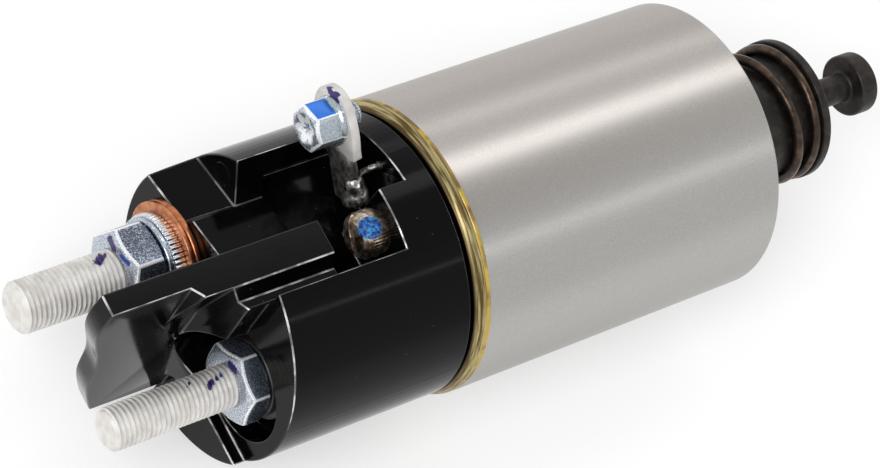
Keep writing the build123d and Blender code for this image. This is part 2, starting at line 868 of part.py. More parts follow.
# Drive spring, between the stem's head and the plug
drive_radius = (stem_radius + plunger_bore) / 2
with BuildPart() as drive_spring:
    coil(stem_head_right, neck_end - plug_length, drive_radius, drive_wire, drive_turns)
drive_spring.part.label = "drive_spring"
export_step(drive_spring.part, "parts/drive_spring.step")

# Contact rod, with a collar that the contact spring presses on
with BuildPart() as contact_rod:
    lathe(
        [
            (rod_left, 0),
            (rod_left, rod_radius - 0.4),
            (rod_left + 0.4, rod_radius),
            (collar_left, rod_radius),
            (collar_left, rod_collar_radius),
            (collar_right, rod_collar_radius),
            (collar_right, rod_radius),
            (rod_right - 0.6, rod_radius),
            (rod_right, rod_radius - 0.6),
            (rod_right, 0),
        ]
    )
contact_rod.part.label = "contact_rod"
export_step(contact_rod.part, "parts/contact_rod.step")

# Copper contact disc on an insulating bush, with washer and clip
bush_radius = rod_radius + rod_clearance + bush_wall
with BuildPart() as insulating_bush:
    ring(rod_clip_right, disc_right, rod_radius + rod_clearance, bush_radius)
    ring(disc_right, disc_right + bush_flange, rod_radius + rod_clearance, bush_flange_radius)
insulating_bush.part.label = "insulating_bush"
export_step(insulating_bush.part, "parts/insulating_bush.step")

with BuildPart() as contact_disc:
    ring(disc_left, disc_right, bush_radius, disc_radius)
contact_disc.part.label = "contact_disc"
export_step(contact_disc.part, "parts/contact_disc.step")

with BuildPart() as insulating_washer:
    ring(rod_clip_right, disc_left, bush_radius, bush_flange_radius)
insulating_washer.part.label = "insulating_washer"
export_step(insulating_washer.part, "parts/insulating_washer.step")

with BuildPart() as rod_clip:
    ring(rod_clip_left, rod_clip_right, rod_radius, rod_clip_radius)
rod_clip.part.label = "rod_clip"
export_step(rod_clip.part, "parts/rod_clip.step")

# Contact spring on the rod, and reset spring in the cap's bore
contact_spring_radius = rod_radius + spring_gap + contact_wire + 1.0
with BuildPart() as contact_spring:
    coil(disc_right + bush_flange, collar_left, contact_spring_radius, contact_wire, contact_turns)
contact_spring.part.label = "contact_spring"
export_step(contact_spring.part, "parts/contact_spring.step")

reset_radius = rod_radius + spring_gap + reset_wire + 0.6
with BuildPart() as reset_spring:
    coil(chamber_floor - reset_depth, rod_clip_left, reset_radius, reset_wire, reset_turns)
reset_spring.part.label = "reset_spring"
export_step(reset_spring.part, "parts/reset_spring.step")
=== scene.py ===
# %% [markdown]
# # A starter solenoid
#
# On a heavy engine's starter sits a solenoid. Its coil pulls a plunger, the plunger moves
# the starter's lever, and a copper disc inside joins two thick studs. Here the packed
# model gives every piece its place, and this lesson gives each one its surface: turned
# steel, glossy moulding, plated threads, phosphated springs.

from math import pi, radians, sqrt, tan

import bmesh
import bpy
import numpy as np
from mathutils import Matrix, Vector


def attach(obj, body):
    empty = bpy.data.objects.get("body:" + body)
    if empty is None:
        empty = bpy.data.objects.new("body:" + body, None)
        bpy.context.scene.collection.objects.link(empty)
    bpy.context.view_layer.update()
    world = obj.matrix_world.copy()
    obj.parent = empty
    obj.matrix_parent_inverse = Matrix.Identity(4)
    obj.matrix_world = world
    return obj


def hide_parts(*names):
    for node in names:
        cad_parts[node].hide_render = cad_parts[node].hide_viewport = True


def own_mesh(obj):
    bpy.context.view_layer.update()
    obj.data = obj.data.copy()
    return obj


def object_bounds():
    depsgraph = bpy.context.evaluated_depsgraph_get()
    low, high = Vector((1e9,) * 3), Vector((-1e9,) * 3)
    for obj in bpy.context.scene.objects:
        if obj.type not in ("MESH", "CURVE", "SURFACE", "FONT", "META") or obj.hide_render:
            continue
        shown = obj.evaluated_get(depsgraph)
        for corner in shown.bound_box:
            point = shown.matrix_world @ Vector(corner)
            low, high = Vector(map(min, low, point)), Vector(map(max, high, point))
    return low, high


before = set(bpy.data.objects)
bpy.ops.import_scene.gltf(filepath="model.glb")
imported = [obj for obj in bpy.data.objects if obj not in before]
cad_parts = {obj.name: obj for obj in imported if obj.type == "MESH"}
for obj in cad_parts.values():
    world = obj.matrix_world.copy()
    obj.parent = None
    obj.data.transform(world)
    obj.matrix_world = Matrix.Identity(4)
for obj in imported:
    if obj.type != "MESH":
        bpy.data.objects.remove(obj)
cad_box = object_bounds()

# %% [markdown]
# ## Measures of the solids
#
# The solids are in metres, and this lesson thinks in millimetres. Most pieces are turned
# about a line along X. Three measures say where such a piece sits: where it begins and
# ends along X, where its line is, and its outer radius. Its solid's box gives all three.

# %% Read a solid's box
# Metres in a millimetre, and the gap in metres below which two points are one.
MM, TOUCH = 0.001, 2e-6


def box(node):
    """The low and the high corner of a solid's box, in millimetres to a hundredth."""
    points = np.array([vertex.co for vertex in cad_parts[node].data.vertices]) / MM
    return points.min(axis=0).round(2).tolist(), points.max(axis=0).round(2).tolist()


def span(node):
    """Where a solid begins and ends along X."""
    low, high = box(node)
    return low[0], high[0]


def axis_of(node):
    """The (y, z) of the line that a solid is turned about, to a tenth."""
    low, high = box(node)
    return round((low[1] + high[1]) / 2, 1), round((low[2] + high[2]) / 2, 1)


def outer(node):
    """A turned solid's largest radius, to a tenth."""
    low, high = box(node)
    return round((high[1] - low[1]) / 2, 1)


print("case from", *span("case"), "with radius", outer("case"))

# %% [markdown]
# ## The camera
#
# The photograph looks down on the part from the side of the studs, and the part runs
# from the lower left to the upper right. A camera is a place and three directions: its
# right, its up and its back become the columns of one matrix. A long lens far away
# keeps the case's two ends nearly the same size.

# %% Camera at the photograph's angle
photo_width, focal_length = 880.0, 3526.5
camera_data = bpy.data.cameras.new("camera")
camera_data.sensor_width = 36.0
camera_data.lens = focal_length * camera_data.sensor_width / photo_width
camera_data.clip_start, camera_data.clip_end = 0.05, 20.0
camera = bpy.data.objects.new("camera", camera_data)
bpy.context.collection.objects.link(camera)
camera.matrix_world = Matrix(
    (
        (0.7992, 0.2882, -0.5275, -0.4987),
        (-0.4711, 0.8456, -0.2517, -0.2037),
        (0.3735, 0.4496, 0.8115, 0.6550),
        (0, 0, 0, 1),
    )
)
bpy.context.scene.camera = camera
print("camera", round(camera_data.lens, 1), "mm")

# %% [markdown]
# ## From arrays to meshes
#
# Most pieces are turned on a lathe, cut with a thread or wound from wire. Each of these
# is a surface with two parameters, so it is worked out as one array of points: rows run
# along the profile, columns run round it. The faces are the same for all of them, four
# neighbours at a time.

# %% Build a mesh from a grid of points
def grid_mesh(name, grid, close_rows=False, sharp=32):
    """A mesh from points[row, column, xyz] in millimetres. Columns always close up.

    Quad (i, j) joins (i, j), (i, j+1), (i+1, j+1), (i+1, j). Rows that shrink to one
    point are merged into a pole, so the shell ends up closed.
    """
    rows, columns, _ = grid.shape
    index = np.arange(rows * columns).reshape(rows, columns)
    ahead = np.roll(index, -1, axis=1)
    if close_rows:
        below, below_ahead = np.roll(index, -1, axis=0), np.roll(ahead, -1, axis=0)
        quads = np.stack([index, ahead, below_ahead, below], axis=-1)
    else:
        quads = np.stack([index[:-1], ahead[:-1], ahead[1:], index[1:]], axis=-1)
    quads = quads.reshape(-1, 4)
    mesh = bpy.data.meshes.new(name)
    mesh.vertices.add(rows * columns)
    mesh.vertices.foreach_set("co", (grid.reshape(-1, 3) * MM).ravel())
    mesh.loops.add(quads.size)
    mesh.loops.foreach_set("vertex_index", quads.ravel())
    mesh.polygons.add(len(quads))
    mesh.polygons.foreach_set("loop_start", np.arange(0, quads.size, 4))
    mesh.update(calc_edges=True)
    work = bmesh.new()
    work.from_mesh(mesh)
    bmesh.ops.remove_doubles(work, verts=work.verts, dist=TOUCH)
    bmesh.ops.dissolve_degenerate(work, edges=work.edges, dist=TOUCH)
    bmesh.ops.recalc_face_normals(work, faces=work.faces)
    return shaded(work, mesh, sharp)


def shaded(work, mesh, sharp):
    """Writes the edited faces to the mesh, smooth but for edges over the sharp angle."""
    work.to_mesh(mesh)
    work.free()
    mesh.polygons.foreach_set("use_smooth", np.ones(len(mesh.polygons), dtype=bool))
    mesh.set_sharp_from_angle(angle=radians(sharp))
    return mesh


# %% Put a finished piece in its place
def fit(mesh, material, body, slot, *nodes):
    """Makes an object of the mesh, riding on its body and standing for its solids."""
    mesh.materials.clear()
    mesh.materials.append(material)
    piece = bpy.data.objects.new(mesh.name, mesh)
    bpy.context.collection.objects.link(piece)
    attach(piece, body)
    if nodes:
        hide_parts(*nodes)
    print(f"{piece.name}: {len(mesh.polygons)} faces")
    return piece


def dress(material, *nodes):
    """Gives a solid that keeps its own shape a better material."""
    for node in nodes:
        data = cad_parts[node].data
        data.materials.clear()
        data.materials.append(material)


# %% Lathe work
def rounded(corners, radius=0.4, steps=5, closed=False):
    """A profile of (x, radius) corners, each corner eased by a short curve.

    Each corner C becomes a quadratic curve from C towards its neighbours, with the
    distance cut to 45% of the shorter side: (1-t)^2 A + 2t(1-t) C + t^2 B.
    """
    points = np.array(corners, dtype=float)
    count = len(points)
    made = []
    for i in range(count):
        here = points[i]
        if not closed and i in (0, count - 1):
            made.append(here[None])
            continue
        back, on = points[i - 1] - here, points[(i + 1) % count] - here
        reach = min(radius, 0.45 * np.linalg.norm(back), 0.45 * np.linalg.norm(on))
        a = here + back / max(np.linalg.norm(back), 1e-9) * reach
        b = here + on / max(np.linalg.norm(on), 1e-9) * reach
        t = np.linspace(0, 1, steps)[:, None]
        made.append((1 - t) ** 2 * a + 2 * t * (1 - t) * here + t**2 * b)
    return np.concatenate(made)


def around(x, radius, angle, y=0.0, z=0.0):
    """Points about the X line through (y, z): (x, y + radius cos a, z + radius sin a)."""
    x, radius, angle = np.broadcast_arrays(x, radius, angle)
    return np.stack([x, y + radius * np.cos(angle), z + radius * np.sin(angle)], axis=-1)


def turned(profile, y=0.0, z=0.0, columns=96):
    """Carries an (x, radius) profile round the X line through (y, z)."""
    angle = np.linspace(0, 2 * pi, columns, endpoint=False)
    return around(profile[:, :1], profile[:, 1:], angle, y, z)


def drawn_in(grid, scale, y, z):
    """Scales each point's distance from the X line through (y, z)."""
    grid[..., 1] = y + (grid[..., 1] - y) * scale
    grid[..., 2] = z + (grid[..., 2] - z) * scale
    return grid


def ring_profile(left, right, inner, outside, edge=0.3):
    """The closed, eased outline of a washer."""
    corners = [(left, inner), (left, outside), (right, outside), (right, inner)]
    return rounded(corners, edge, closed=True)


print("lathe helpers ready")

# %% [markdown]
# ## Writing shaders as sums
#
# A finish is a little arithmetic on noise and on the place of a point. Wrapping a node's
# socket in a class lets that arithmetic read like arithmetic: `1 - mask` adds a Math
# node. Places come in millimetres, so a mask can be given the piece's own sizes.

# %% A socket that can be added and multiplied
def arithmetic(operation, reflected=False):
    """A method for one operator: it adds a Math node on itself and the other value."""
    if reflected:
        return lambda self, other: self.math(operation, other, self)
    return lambda self, other: self.math(operation, self, other)


class Wire:
    """One output socket of a finish, with the operators that add Math nodes."""

    __add__, __radd__ = arithmetic("ADD"), arithmetic("ADD", reflected=True)
    __sub__, __rsub__ = arithmetic("SUBTRACT"), arithmetic("SUBTRACT", reflected=True)
    __mul__, __rmul__ = arithmetic("MULTIPLY"), arithmetic("MULTIPLY", reflected=True)
    __truediv__, __rtruediv__ = arithmetic("DIVIDE"), arithmetic("DIVIDE", reflected=True)

    def __init__(self, finish, socket):
        self.finish, self.socket = finish, socket

    def math(self, operation, a, b=0.0):
        return self.finish.add("ShaderNodeMath", {"operation": operation}, {0: a, 1: b})

    def above(self, low, high):
        """0 below low, 1 above high, and a smooth step between them."""
        settings = {"interpolation_type": "SMOOTHSTEP"}
        return self.finish.add("ShaderNodeMapRange", settings, {0: self, 1: low, 2: high})

    def within(self, low, high, soft):
        """1 between low and high, fading over soft on each side."""
        return self.above(low - soft, low) * (1 - self.above(high, high + soft))


# %% A material under construction
class Finish:
    """A material and its nodes. Its inputs are set by name on one shader."""

    def __init__(self, name):
        self.material = bpy.data.materials.new(name)
        self.material.use_nodes = True
        self.tree = self.material.node_tree
        self.shader = self.tree.nodes["Principled BSDF"]
        self.coordinates = self.tree.nodes.new("ShaderNodeTexCoord").outputs
        self.place = self.vector("MULTIPLY", self.wire("Object"), (1 / MM, 1 / MM, 1 / MM))
        split = self.tree.nodes.new("ShaderNodeSeparateXYZ")
        self.tree.links.new(self.place.socket, split.inputs[0])
        self.x, self.y, self.z = (Wire(self, socket) for socket in split.outputs)

    def wire(self, name):
        """One of the texture coordinates, ready for arithmetic."""
        return Wire(self, self.coordinates[name])

    def add(self, kind, settings=None, inputs=None, output=0):
        """Adds a node: its settings first, then its inputs, by name or number."""
        node = self.tree.nodes.new(kind)
        for key, value in (settings or {}).items():
            setattr(node, key, value)
        for key, value in (inputs or {}).items():
            self.feed(node.inputs[key], value)
        return Wire(self, node.outputs[output])

    def feed(self, socket, value):
        if isinstance(value, Wire):
            self.tree.links.new(value.socket, socket)
        else:
            socket.default_value = value

    def vector(self, operation, a, b=(0, 0, 0), output=0):
        """A Vector Math node. Its output 1 is a number: a length, distance or dot product."""
        return self.add("ShaderNodeVectorMath", {"operation": operation}, {0: a, 1: b}, output)

    def noise(self, scale, detail=2.0, stretch=(1, 1, 1), roughness=0.5):
        """Soft noise about 0.5, with scale in lumps for each millimetre."""
        place = self.vector("MULTIPLY", self.place, stretch)
        inputs = {"Vector": place, "Scale": scale, "Detail": detail, "Roughness": roughness}
        return self.add("ShaderNodeTexNoise", {}, inputs)

    def facing(self, way):
        """How far a face looks towards a direction: its own normal . way."""
        return self.vector("DOT_PRODUCT", self.wire("Normal"), way, 1)

    def specks(self, scale, size):
        """Scattered dots: 1 at the middle of a few cells, 0 elsewhere."""
        cells = self.add("ShaderNodeTexVoronoi", {}, {"Vector": self.place, "Scale": scale})
        return 1 - cells.above(0.4 * size, size)

    def mix(self, factor, a, b):
        """A colour between a and b."""
        colours = [c if isinstance(c, Wire) else (*c, 1.0) for c in (a, b)]
        settings = {"data_type": "RGBA", "clamp_factor": True}
        return self.add("ShaderNodeMix", settings, {0: factor, 6: colours[0], 7: colours[1]}, 2)

    def bearing(self, y, z):
        """The angle of a point about the X line through (y, z), 0 to 360 degrees from +Y."""
        turn = (self.z - z).math("ARCTAN2", self.z - z, self.y - y) * (180 / pi)
        return turn.math("FLOORED_MODULO", turn, 360.0)

    def stroke(self, start, end, width):
        """1 on a brush stroke between two points, with a ragged edge.

        The gap from the line is sqrt(far^2 - along^2 + (along - short)^2), where short
        is along cut to the stroke's two ends.
        """
        a, b = np.array(start, float), np.array(end, float)
        length = float(np.linalg.norm(b - a)) + 1e-6
        move = self.vector("SUBTRACT", self.place, tuple(a))
        along = self.vector("DOT_PRODUCT", move, tuple((b - a) / length), 1)
        far = self.vector("LENGTH", move, output=1)
        short = along.math("MINIMUM", along.math("MAXIMUM", along, 0.0), length)
        off = far * far - along * along + (along - short) * (along - short)
        gap = off.math("SQRT", off.math("ABSOLUTE", off))
        ragged = gap + 0.5 * width * (self.noise(1.4, 3.0) - 0.5)
        return 1 - ragged.above(0.42 * width, 0.58 * width)

    def painted(self, tone, rough, metal, strokes):
        """Lays strokes of (start, end, width, colour) over a finish."""
        paint_rough = 0.3
        for start, end, width, colour in strokes:
            spot = self.stroke(start, end, width)
            tone = self.mix(spot, tone, colour)
            rough, metal = rough + (paint_rough - rough) * spot, metal * (1 - spot)
        return tone, rough, metal

    def bump(self, height, distance_mm, strength=1.0):
        """A normal from a height, where 1 stands for distance_mm."""
        inputs = {"Height": height, "Distance": distance_mm * MM, "Strength": strength}
        return self.add("ShaderNodeBump", {}, inputs)

    def done(self, colour, rough, metal=0.0, normal=None, others=None):
        """Feeds the shader and returns the material."""
        inputs = {"Base Color": colour if isinstance(colour, Wire) else (*colour, 1)}
        inputs.update({"Roughness": rough, "Metallic": metal, **(others or {})})
        if normal is not None:
            inputs["Normal"] = normal
        for name, value in inputs.items():
            self.feed(self.shader.inputs[name], value)
        return self.material


print("shader helpers ready")

# %% [markdown]
# ## Case
#
# The case is drawn steel, turned on the outside and left bare. Turning leaves fine rings
# round it, and handling leaves a faint warm stain. Its open end is rolled in over the cap
# and has gone brown where flux and lacquer ran; the darkest brown, where it turns in by the
# cap, is partly painted shade. A lathe profile says all of its shape.

# %% Bare turned steel
def bare_steel():
    """Fine rings over two tones of steel, and an olive band on the rim, dark brown by the cap: burnt flux
    there, and in part painted shade.
    """
    f = Finish("case_steel")
    near_side, far_side = (0.425, 0.422, 0.402), (0.445, 0.412, 0.388)
    pale, dull = (0.58, 0.56, 0.54), (0.34, 0.33, 0.32)
    dark_olive, pale_olive, burnt = (0.12, 0.080, 0.030), (0.48, 0.41, 0.20), (0.07, 0.045, 0.025)
    rings = f.noise(2.2, 3.0, (1, 0.01, 0.01), 0.6)
    fine = f.noise(9.0, 2.0, (1, 0.02, 0.02), 0.7)
    grain = f.noise(1.6, 4.0, roughness=0.6)
    side = (f.y + 8 * f.noise(0.03, 2.0)).above(-24, 12)
    sparkle = f.noise(2.6, 2.0, (1.6, 1, 1), 0.7)
    tone = f.mix(sparkle.above(0.42, 0.72) * 0.45, f.mix(side, near_side, far_side), pale)
    tone = f.mix((1 - sparkle.above(0.30, 0.50)) * 0.22, tone, dull)
    rim = 1 - f.x.above(-85.7, -85.1)
    run = f.noise(0.9, 3.0, (2.2, 0.10, 0.10), 0.6)
    olive = f.mix(run.above(0.38, 0.62), dark_olive, pale_olive)
    # Dark brown where the rim turns in by the cap: partly burnt flux, partly painted shade of the groove
    # there.
    olive = f.mix(1 - (f.x + 0.5 * run).above(-88.0, -87.2), olive, burnt)
    tone = f.mix(rim, tone, olive)
    rough = 0.29 + 0.06 * (rings - 0.5) + 0.05 * (grain - 0.5) + 0.03 * rim
    height = (fine * 0.6 + rings * 0.4 + grain * 0.5) * (1 - rim)
    glint = {"Specular Tint": (0.78, 0.77, 0.76, 1)}
    return f.done(tone, rough, 1.0, f.bump(height, 0.014, 0.6), glint)


# %% Case with its rolled rim
rim_end, flange = span("case")
case_radius = outer("case")
mouth = span("guide_sleeve")[1]
front_wall, seat_start = -9.0, -69.8
sleeve_bore, spring_recess, coil_room, cap_seat = 15.46, 17.85, 31.8, 33.3
inside_front = [(front_wall, coil_room), (front_wall, sleeve_bore), (mouth, sleeve_bore)]
outside = [(mouth, spring_recess), (flange, spring_recess), (flange, case_radius - 0.3)]
outside += [(flange - 0.3, case_radius), (rim_end + 3.8, case_radius)]
rolled_rim = [(rim_end + 2.2, case_radius - 0.25), (rim_end, case_radius - 1.35)]
rolled_rim += [(rim_end, case_radius - 2.3), (rim_end + 3.1, cap_seat)]
seat = [(seat_start, cap_seat), (seat_start, coil_room)]
case_corners = inside_front + outside + rolled_rim + seat
case_rows = turned(rounded(case_corners, 1.0, 6, True), columns=256)
fit(grid_mesh("steel_case", case_rows, True), bare_steel(), "housing", "case_steel", "case")

# %% [markdown]
# ## Lacquer
#
# A bead of amber lacquer seals the rolled rim. It was brushed on, so its edge wanders:
# the profile's width changes slowly with the angle.

# %% Amber lacquer bead
def amber_lacquer():
    """Thin and thick patches of amber, with paler brush streaks round the case."""
    f = Finish("lacquer")
    thin, thick, streaked = (0.16, 0.09, 0.02), (0.46, 0.31, 0.04), (0.66, 0.50, 0.12)
    patches = f.noise(0.16, 3.0, (0.5, 1, 1))
    streak = f.noise(0.9, 3.0, (3.0, 0.15, 0.15))
    tone = f.mix(patches.above(0.42, 0.6), thin, thick)
    tone = f.mix(streak.above(0.5, 0.75) * 0.5, tone, streaked)
    rough, normal = 0.24 + 0.15 * streak, f.bump(streak, 0.04, 0.4)
    return f.done(tone, rough, 0.35, normal, {"Coat Weight": 0.4})


def bead_rows(columns=256, rows=14):
    """Rows across the bead, from one wandering edge to the other and back underneath.

    With t from 0 to 1 across it, the bead stands 0.16 sin(pi t)^0.6 proud of the steel,
    and its underside lies 0.1 below. The steel's radius falls along the rolled rim.
    """
    angle = np.linspace(0, 2 * pi, columns, endpoint=False)
    wander = 0.5 * np.sin(angle + 0.7) + 0.22 * np.sin(3 * angle + 1.1) + 0.1 * np.sin(7 * angle)
    across = np.linspace(0, 1, rows)[:, None]
    start = np.clip(-84.9 + 0.35 * wander, -85.2, -84.2)
    end = np.clip(-86.1 + 0.5 * wander, -86.6, -85.7)
    x = start + (end - start) * across
    steel = np.interp(-x, [85, -rim_end], [case_radius, case_radius - 1.35])
    proud = 0.16 * np.sin(pi * across) ** 0.6
    return np.concatenate([around(x, steel + proud, angle), around(x, steel - 0.1, angle)[::-1]])


bead = grid_mesh("lacquer_bead", bead_rows(), True, 180)
fit(bead, amber_lacquer(), "housing", "lacquer", "sealant_ring")

# %% [markdown]
# ## Terminal cap
#
# The cap is one glossy black moulding. Its shape is cut from many planes, and the solid
# already has them right, so its copy only needs what a mould gives every edge: a small
# radius. That radius catches thin lines of light, and the edges' own material adds a
# painted highlight where they face up and out.

# %% Ease the edges of a solid's copy
def eased_copy(node, name, sharp, flat=0.6, many=40):
    """A copy of a solid with coplanar triangles joined, ready for its bevel.

    Faces with very many corners have narrow necks, and stay cut into triangles.
    """
    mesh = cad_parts[node].data.copy()
    mesh.name = name
    work = bmesh.new()
    work.from_mesh(mesh)
    bmesh.ops.remove_doubles(work, verts=work.verts, dist=TOUCH)
    plane = {"angle_limit": radians(flat), "use_dissolve_boundaries": False}
    bmesh.ops.dissolve_limit(work, verts=work.verts, edges=work.edges, **plane)
    wide = [face for face in work.faces if len(face.verts) > many]
    bmesh.ops.triangulate(work, faces=wide)
    return shaded(work, mesh, sharp)


def add_bevel(piece, width, segments, sharp, edge):
    """A live Bevel on the sharp edges. Its new faces take the edge's own material."""
    piece.data.materials.append(edge)
    bevel = piece.modifiers.new("edge_radius", "BEVEL")
    bevel.width, bevel.segments = width * MM, segments
    bevel.limit_method, bevel.angle_limit = "ANGLE", radians(sharp)
    bevel.use_clamp_overlap = False
    bevel.harden_normals = True
    bevel.material = 1


# %% Black moulding, and its edges with a painted highlight
def black_moulding():
    """Deep gloss with slow waves, a few specks of dust and one oval mould mark."""
    f = Finish("cap_moulding")
    mark_centre, mark_radius = (-125.5, 24.1, 16.0), 2.75
    flow = f.noise(0.12, 3.0)
    mottle = f.noise(1.3, 4.0)
    dust = f.specks(0.28, 0.045) + f.specks(0.55, 0.035) * 0.7
    tone = f.mix(dust * 0.4, (0.0014, 0.0014, 0.0016), (0.16, 0.16, 0.155))
    rough = 0.07 + 0.07 * flow + 0.03 * mottle + 0.3 * dust
    near = f.vector("DISTANCE", f.place, mark_centre, 1)
    ring = near.within(mark_radius - 0.15, mark_radius + 0.15, 0.2)
    height = mottle + flow * 2.0 + ring * 12
    return f.done(tone, rough, 0.0, f.bump(height, 0.012, 0.3), {"Specular IOR Level": 0.1})


def edge_with_painted_highlight():
    """The rounded edges are smoother than the faces, with a painted highlight where they face up and out.

    The painted highlight comes in patches, and is dimmed in the low corner of the deck.
    """
    f = Finish("cap_edge")
    highlight_way = (-0.6, -0.3, 0.74)
    edge_patches = f.noise(0.22, 3.0)
    # Painted highlight: where an edge faces up and out, its colour turns pale and metallic, in patches.
    edge_highlight = f.facing(highlight_way).above(0.735, 0.80) * (0.15 + 0.75 * edge_patches.above(0.40, 0.62))
    # The painted highlight is dimmed in the deck's low corner.
    low_corner = f.x.above(-127.0, -125.8) * f.y.above(2.7, 3.2) * (1 - f.z.above(24.0, 24.3))
    edge_highlight = edge_highlight * (1 - 0.8 * low_corner)
    tone = f.mix(edge_highlight, (0.002, 0.002, 0.002), (0.80, 0.80, 0.79))
    return f.done(tone, 0.14 + 0.1 * edge_patches, 0.9 * edge_highlight, None, {"Specular IOR Level": 0.35})


cap_sharp = 16
cap_copy = eased_copy("terminal_cap", "terminal_cap_moulding", cap_sharp)
cap = fit(cap_copy, black_moulding(), "housing", "cap_moulding", "terminal_cap")
add_bevel(cap, 0.35, 3, cap_sharp, edge_with_painted_highlight())

# %% [markdown]
# ## Studs
#
# Rolled threads have narrow crests, sloping flanks and a rounded root. The crest climbs
# one pitch for each turn, so the radius depends on the place along the axis plus the
# angle.

# %% Cut a thread on a bar
def threaded(tip, base, radius, pitch, y, z, chamfer, columns=72):
    """Rows of a threaded bar from its tip face to its base.

    With s = |2 frac(x / pitch + angle / turn) - 1|, the radius is the outer radius less
    the depth times (1 - rise), and no more than the chamfer allows. Rise is a smooth
    step of (s - 0.15) / 0.65.
    """
    direction = np.sign(base - tip)
    length = abs(base - tip)
    rows_per_pitch, depth = 12, 0.42 * pitch
    along = np.linspace(0, length, int(length / pitch * rows_per_pitch))[:, None]
    turn = np.linspace(0, 1, columns, endpoint=False)
    s = np.abs(2 * np.mod(along / pitch + turn, 1) - 1)
    rise = np.clip((s - 0.15) / 0.65, 0, 1)
    rise = rise * rise * (3 - 2 * rise)
    r = radius - depth * (1 - rise) * (along < length)
    r = np.minimum(r, radius - chamfer + along * 1.1)
    r = np.maximum(r, radius - 1.6 * pitch)
    bar = around(tip + direction * along, r, 2 * pi * turn, y, z)
    middle_out = np.linspace(0, 1, 8)[:, None]
    dish = 0.12 * (1 - middle_out**2)
    face = around(tip + direction * dish, middle_out * r[0], 2 * pi * turn, y, z)
    foot = around(bar[-1, :, 0], 0.0, 2 * pi * turn, y, z)[None]
    return np.concatenate([face[:-1], bar, foot])


def stud_rows(node, radius, thread_end, chamfer):
    """A whole stud: its thread, its plain shank, and the contact head inside the cap."""
    tip, head_end = span(node)
    shank_start, head_start = -128.0, -91.8
    head = outer(node)
    y, z = axis_of(node)
    bar = threaded(tip, thread_end, radius, 1.25, y, z, chamfer)
    corners = [(shank_start, radius), (head_start, radius), (head_start, head), (head_end, head)]
    inner = rounded(corners + [(head_end, 0)], 0.4)
    return np.concatenate([bar[:-1], turned(inner, y, z, bar.shape[1])])


# %% Tin plate, and paint on the studs
def tin_plate(name, marks, smear=None, shade=0.0):
    """Satin tin plate, with strokes of paint given as (start, end, width, colour).

    Below the height smear, solder and burnt flux have run over it. Shade greys it.
    """
    f = Finish(name)
    dull, pale, grained = (0.60, 0.575, 0.55), (0.74, 0.725, 0.70), (0.48, 0.46, 0.44)
    grey, burnt, solder_grey = (0.24, 0.25, 0.24), (0.045, 0.040, 0.034), (0.42, 0.41, 0.39)
    cloud = f.noise(0.35, 4.0)
    grain = f.noise(4.5, 3.0)
    tone = f.mix(cloud.above(0.3, 0.7), dull, pale)
    tone = f.mix(grain.above(0.45, 0.75) * 0.4, tone, grained)
    tone = f.mix(shade, tone, grey) if shade else tone
    rough, metal = 0.55 + 0.12 * (cloud - 0.5) + 0.12 * (grain - 0.5), 0.45
    if smear is not None:
        wet = 1 - (f.z + 5 * (f.noise(0.25, 3.0) - 0.5)).above(smear - 2, smear + 1)
        flux = f.noise(0.55, 4.0, roughness=0.65)
        tone = f.mix(wet, tone, f.mix(flux.above(0.30, 0.72), burnt, solder_grey))
        rough, metal = rough + (0.40 - rough) * wet, 0.45 + 0.4 * wet
    tone, rough, metal = f.painted(tone, rough, metal, marks)
    return f.done(tone, rough, metal, f.bump(grain + cloud, 0.02, 0.7))


BLUE, VIOLET = (0.006, 0.035, 0.26), (0.022, 0.006, 0.095)
battery_paint = [((-156.4, 18.6, 4.6), (-154.6, 20.0, 3.8), 2.2, VIOLET)]
motor_paint = [
    ((-150.9, -14.8, 3.8), (-150.2, -14.0, 3.5), 0.8, VIOLET),
    ((-146.3, -16.6, 4.0), (-145.5, -15.7, 3.9), 1.5, VIOLET),
    ((-144.0, -15.6, 3.9), (-143.6, -15.0, 3.8), 0.8, VIOLET),
    ((-142.5, -15.1, 3.8), (-142.0, -14.5, 3.7), 0.9, BLUE),
]
for side, paint, radius, thread_end, chamfer in [
    ("battery", battery_paint, 6.0, -134.0, 1.0),
    ("motor", motor_paint, 5.0, -128.0, 0.9),
]:
    node = f"{side}_stud"
    mesh = grid_mesh(f"{node}_thread", stud_rows(node, radius, thread_end, chamfer))
    fit(mesh, tin_plate(f"tin_plate_{side}", paint), "housing", "tin_plate", node)

# %% [markdown]
# ## Nuts
#
# A nut is a hexagon bar whose corners are turned off by a 30 degree cone. Going round
# it, the distance to the flats rises towards each corner, and the cone meets the flats
# in six arcs. One grid holds all of it: bore, face, cone, flats, and back.

# %% Hexagon with turned corners
CONE = tan(radians(30))


def hexagonal(left, right, flats, corner, y, z, bore, face=0.93, both=True, soft=0.25, columns=240):
    """Rows of a nut, from the bore at its left face round to the bore at its right.

    Flats are at flats / 2 / cos(a), with a the angle from the nearest flat's middle. They
    turn into the corners' radius R by -soft log(exp(-flat / soft) + exp(-R / soft)). The
    cone leaves the face at radius c and reaches them after (distance - c) tan 30.
    """
    angle = np.linspace(0, 2 * pi, columns, endpoint=False)
    a = np.mod(angle - radians(corner), pi / 3) - pi / 6
    flat = flats / 2 / np.cos(a)
    corner_radius = flats / sqrt(3) - 0.12
    flat = -soft * np.log(np.exp(-flat / soft) + np.exp(-corner_radius / soft))
    c = face * flats / 2
    slope = np.maximum(flat - c, 0) * CONE
    rows = [(left, bore), (left, bore + 0.35), (left, c - 0.15), (left + 0.04, c + 0.05)]
    rows += [(left + slope, flat - 0.04), (left + slope + 0.12, flat)]
    end = slope if both else 0.3
    rows += [(right - end - 0.12, flat), (right - end, flat - 0.04)]
    rows += [(right - 0.04, c + 0.05 if both else flat), (right, c - 0.15 if both else flat)]
    rows += [(right, bore + 0.35), (right, bore)]
    return np.stack([around(x, r, angle, y, z) for x, r in rows])


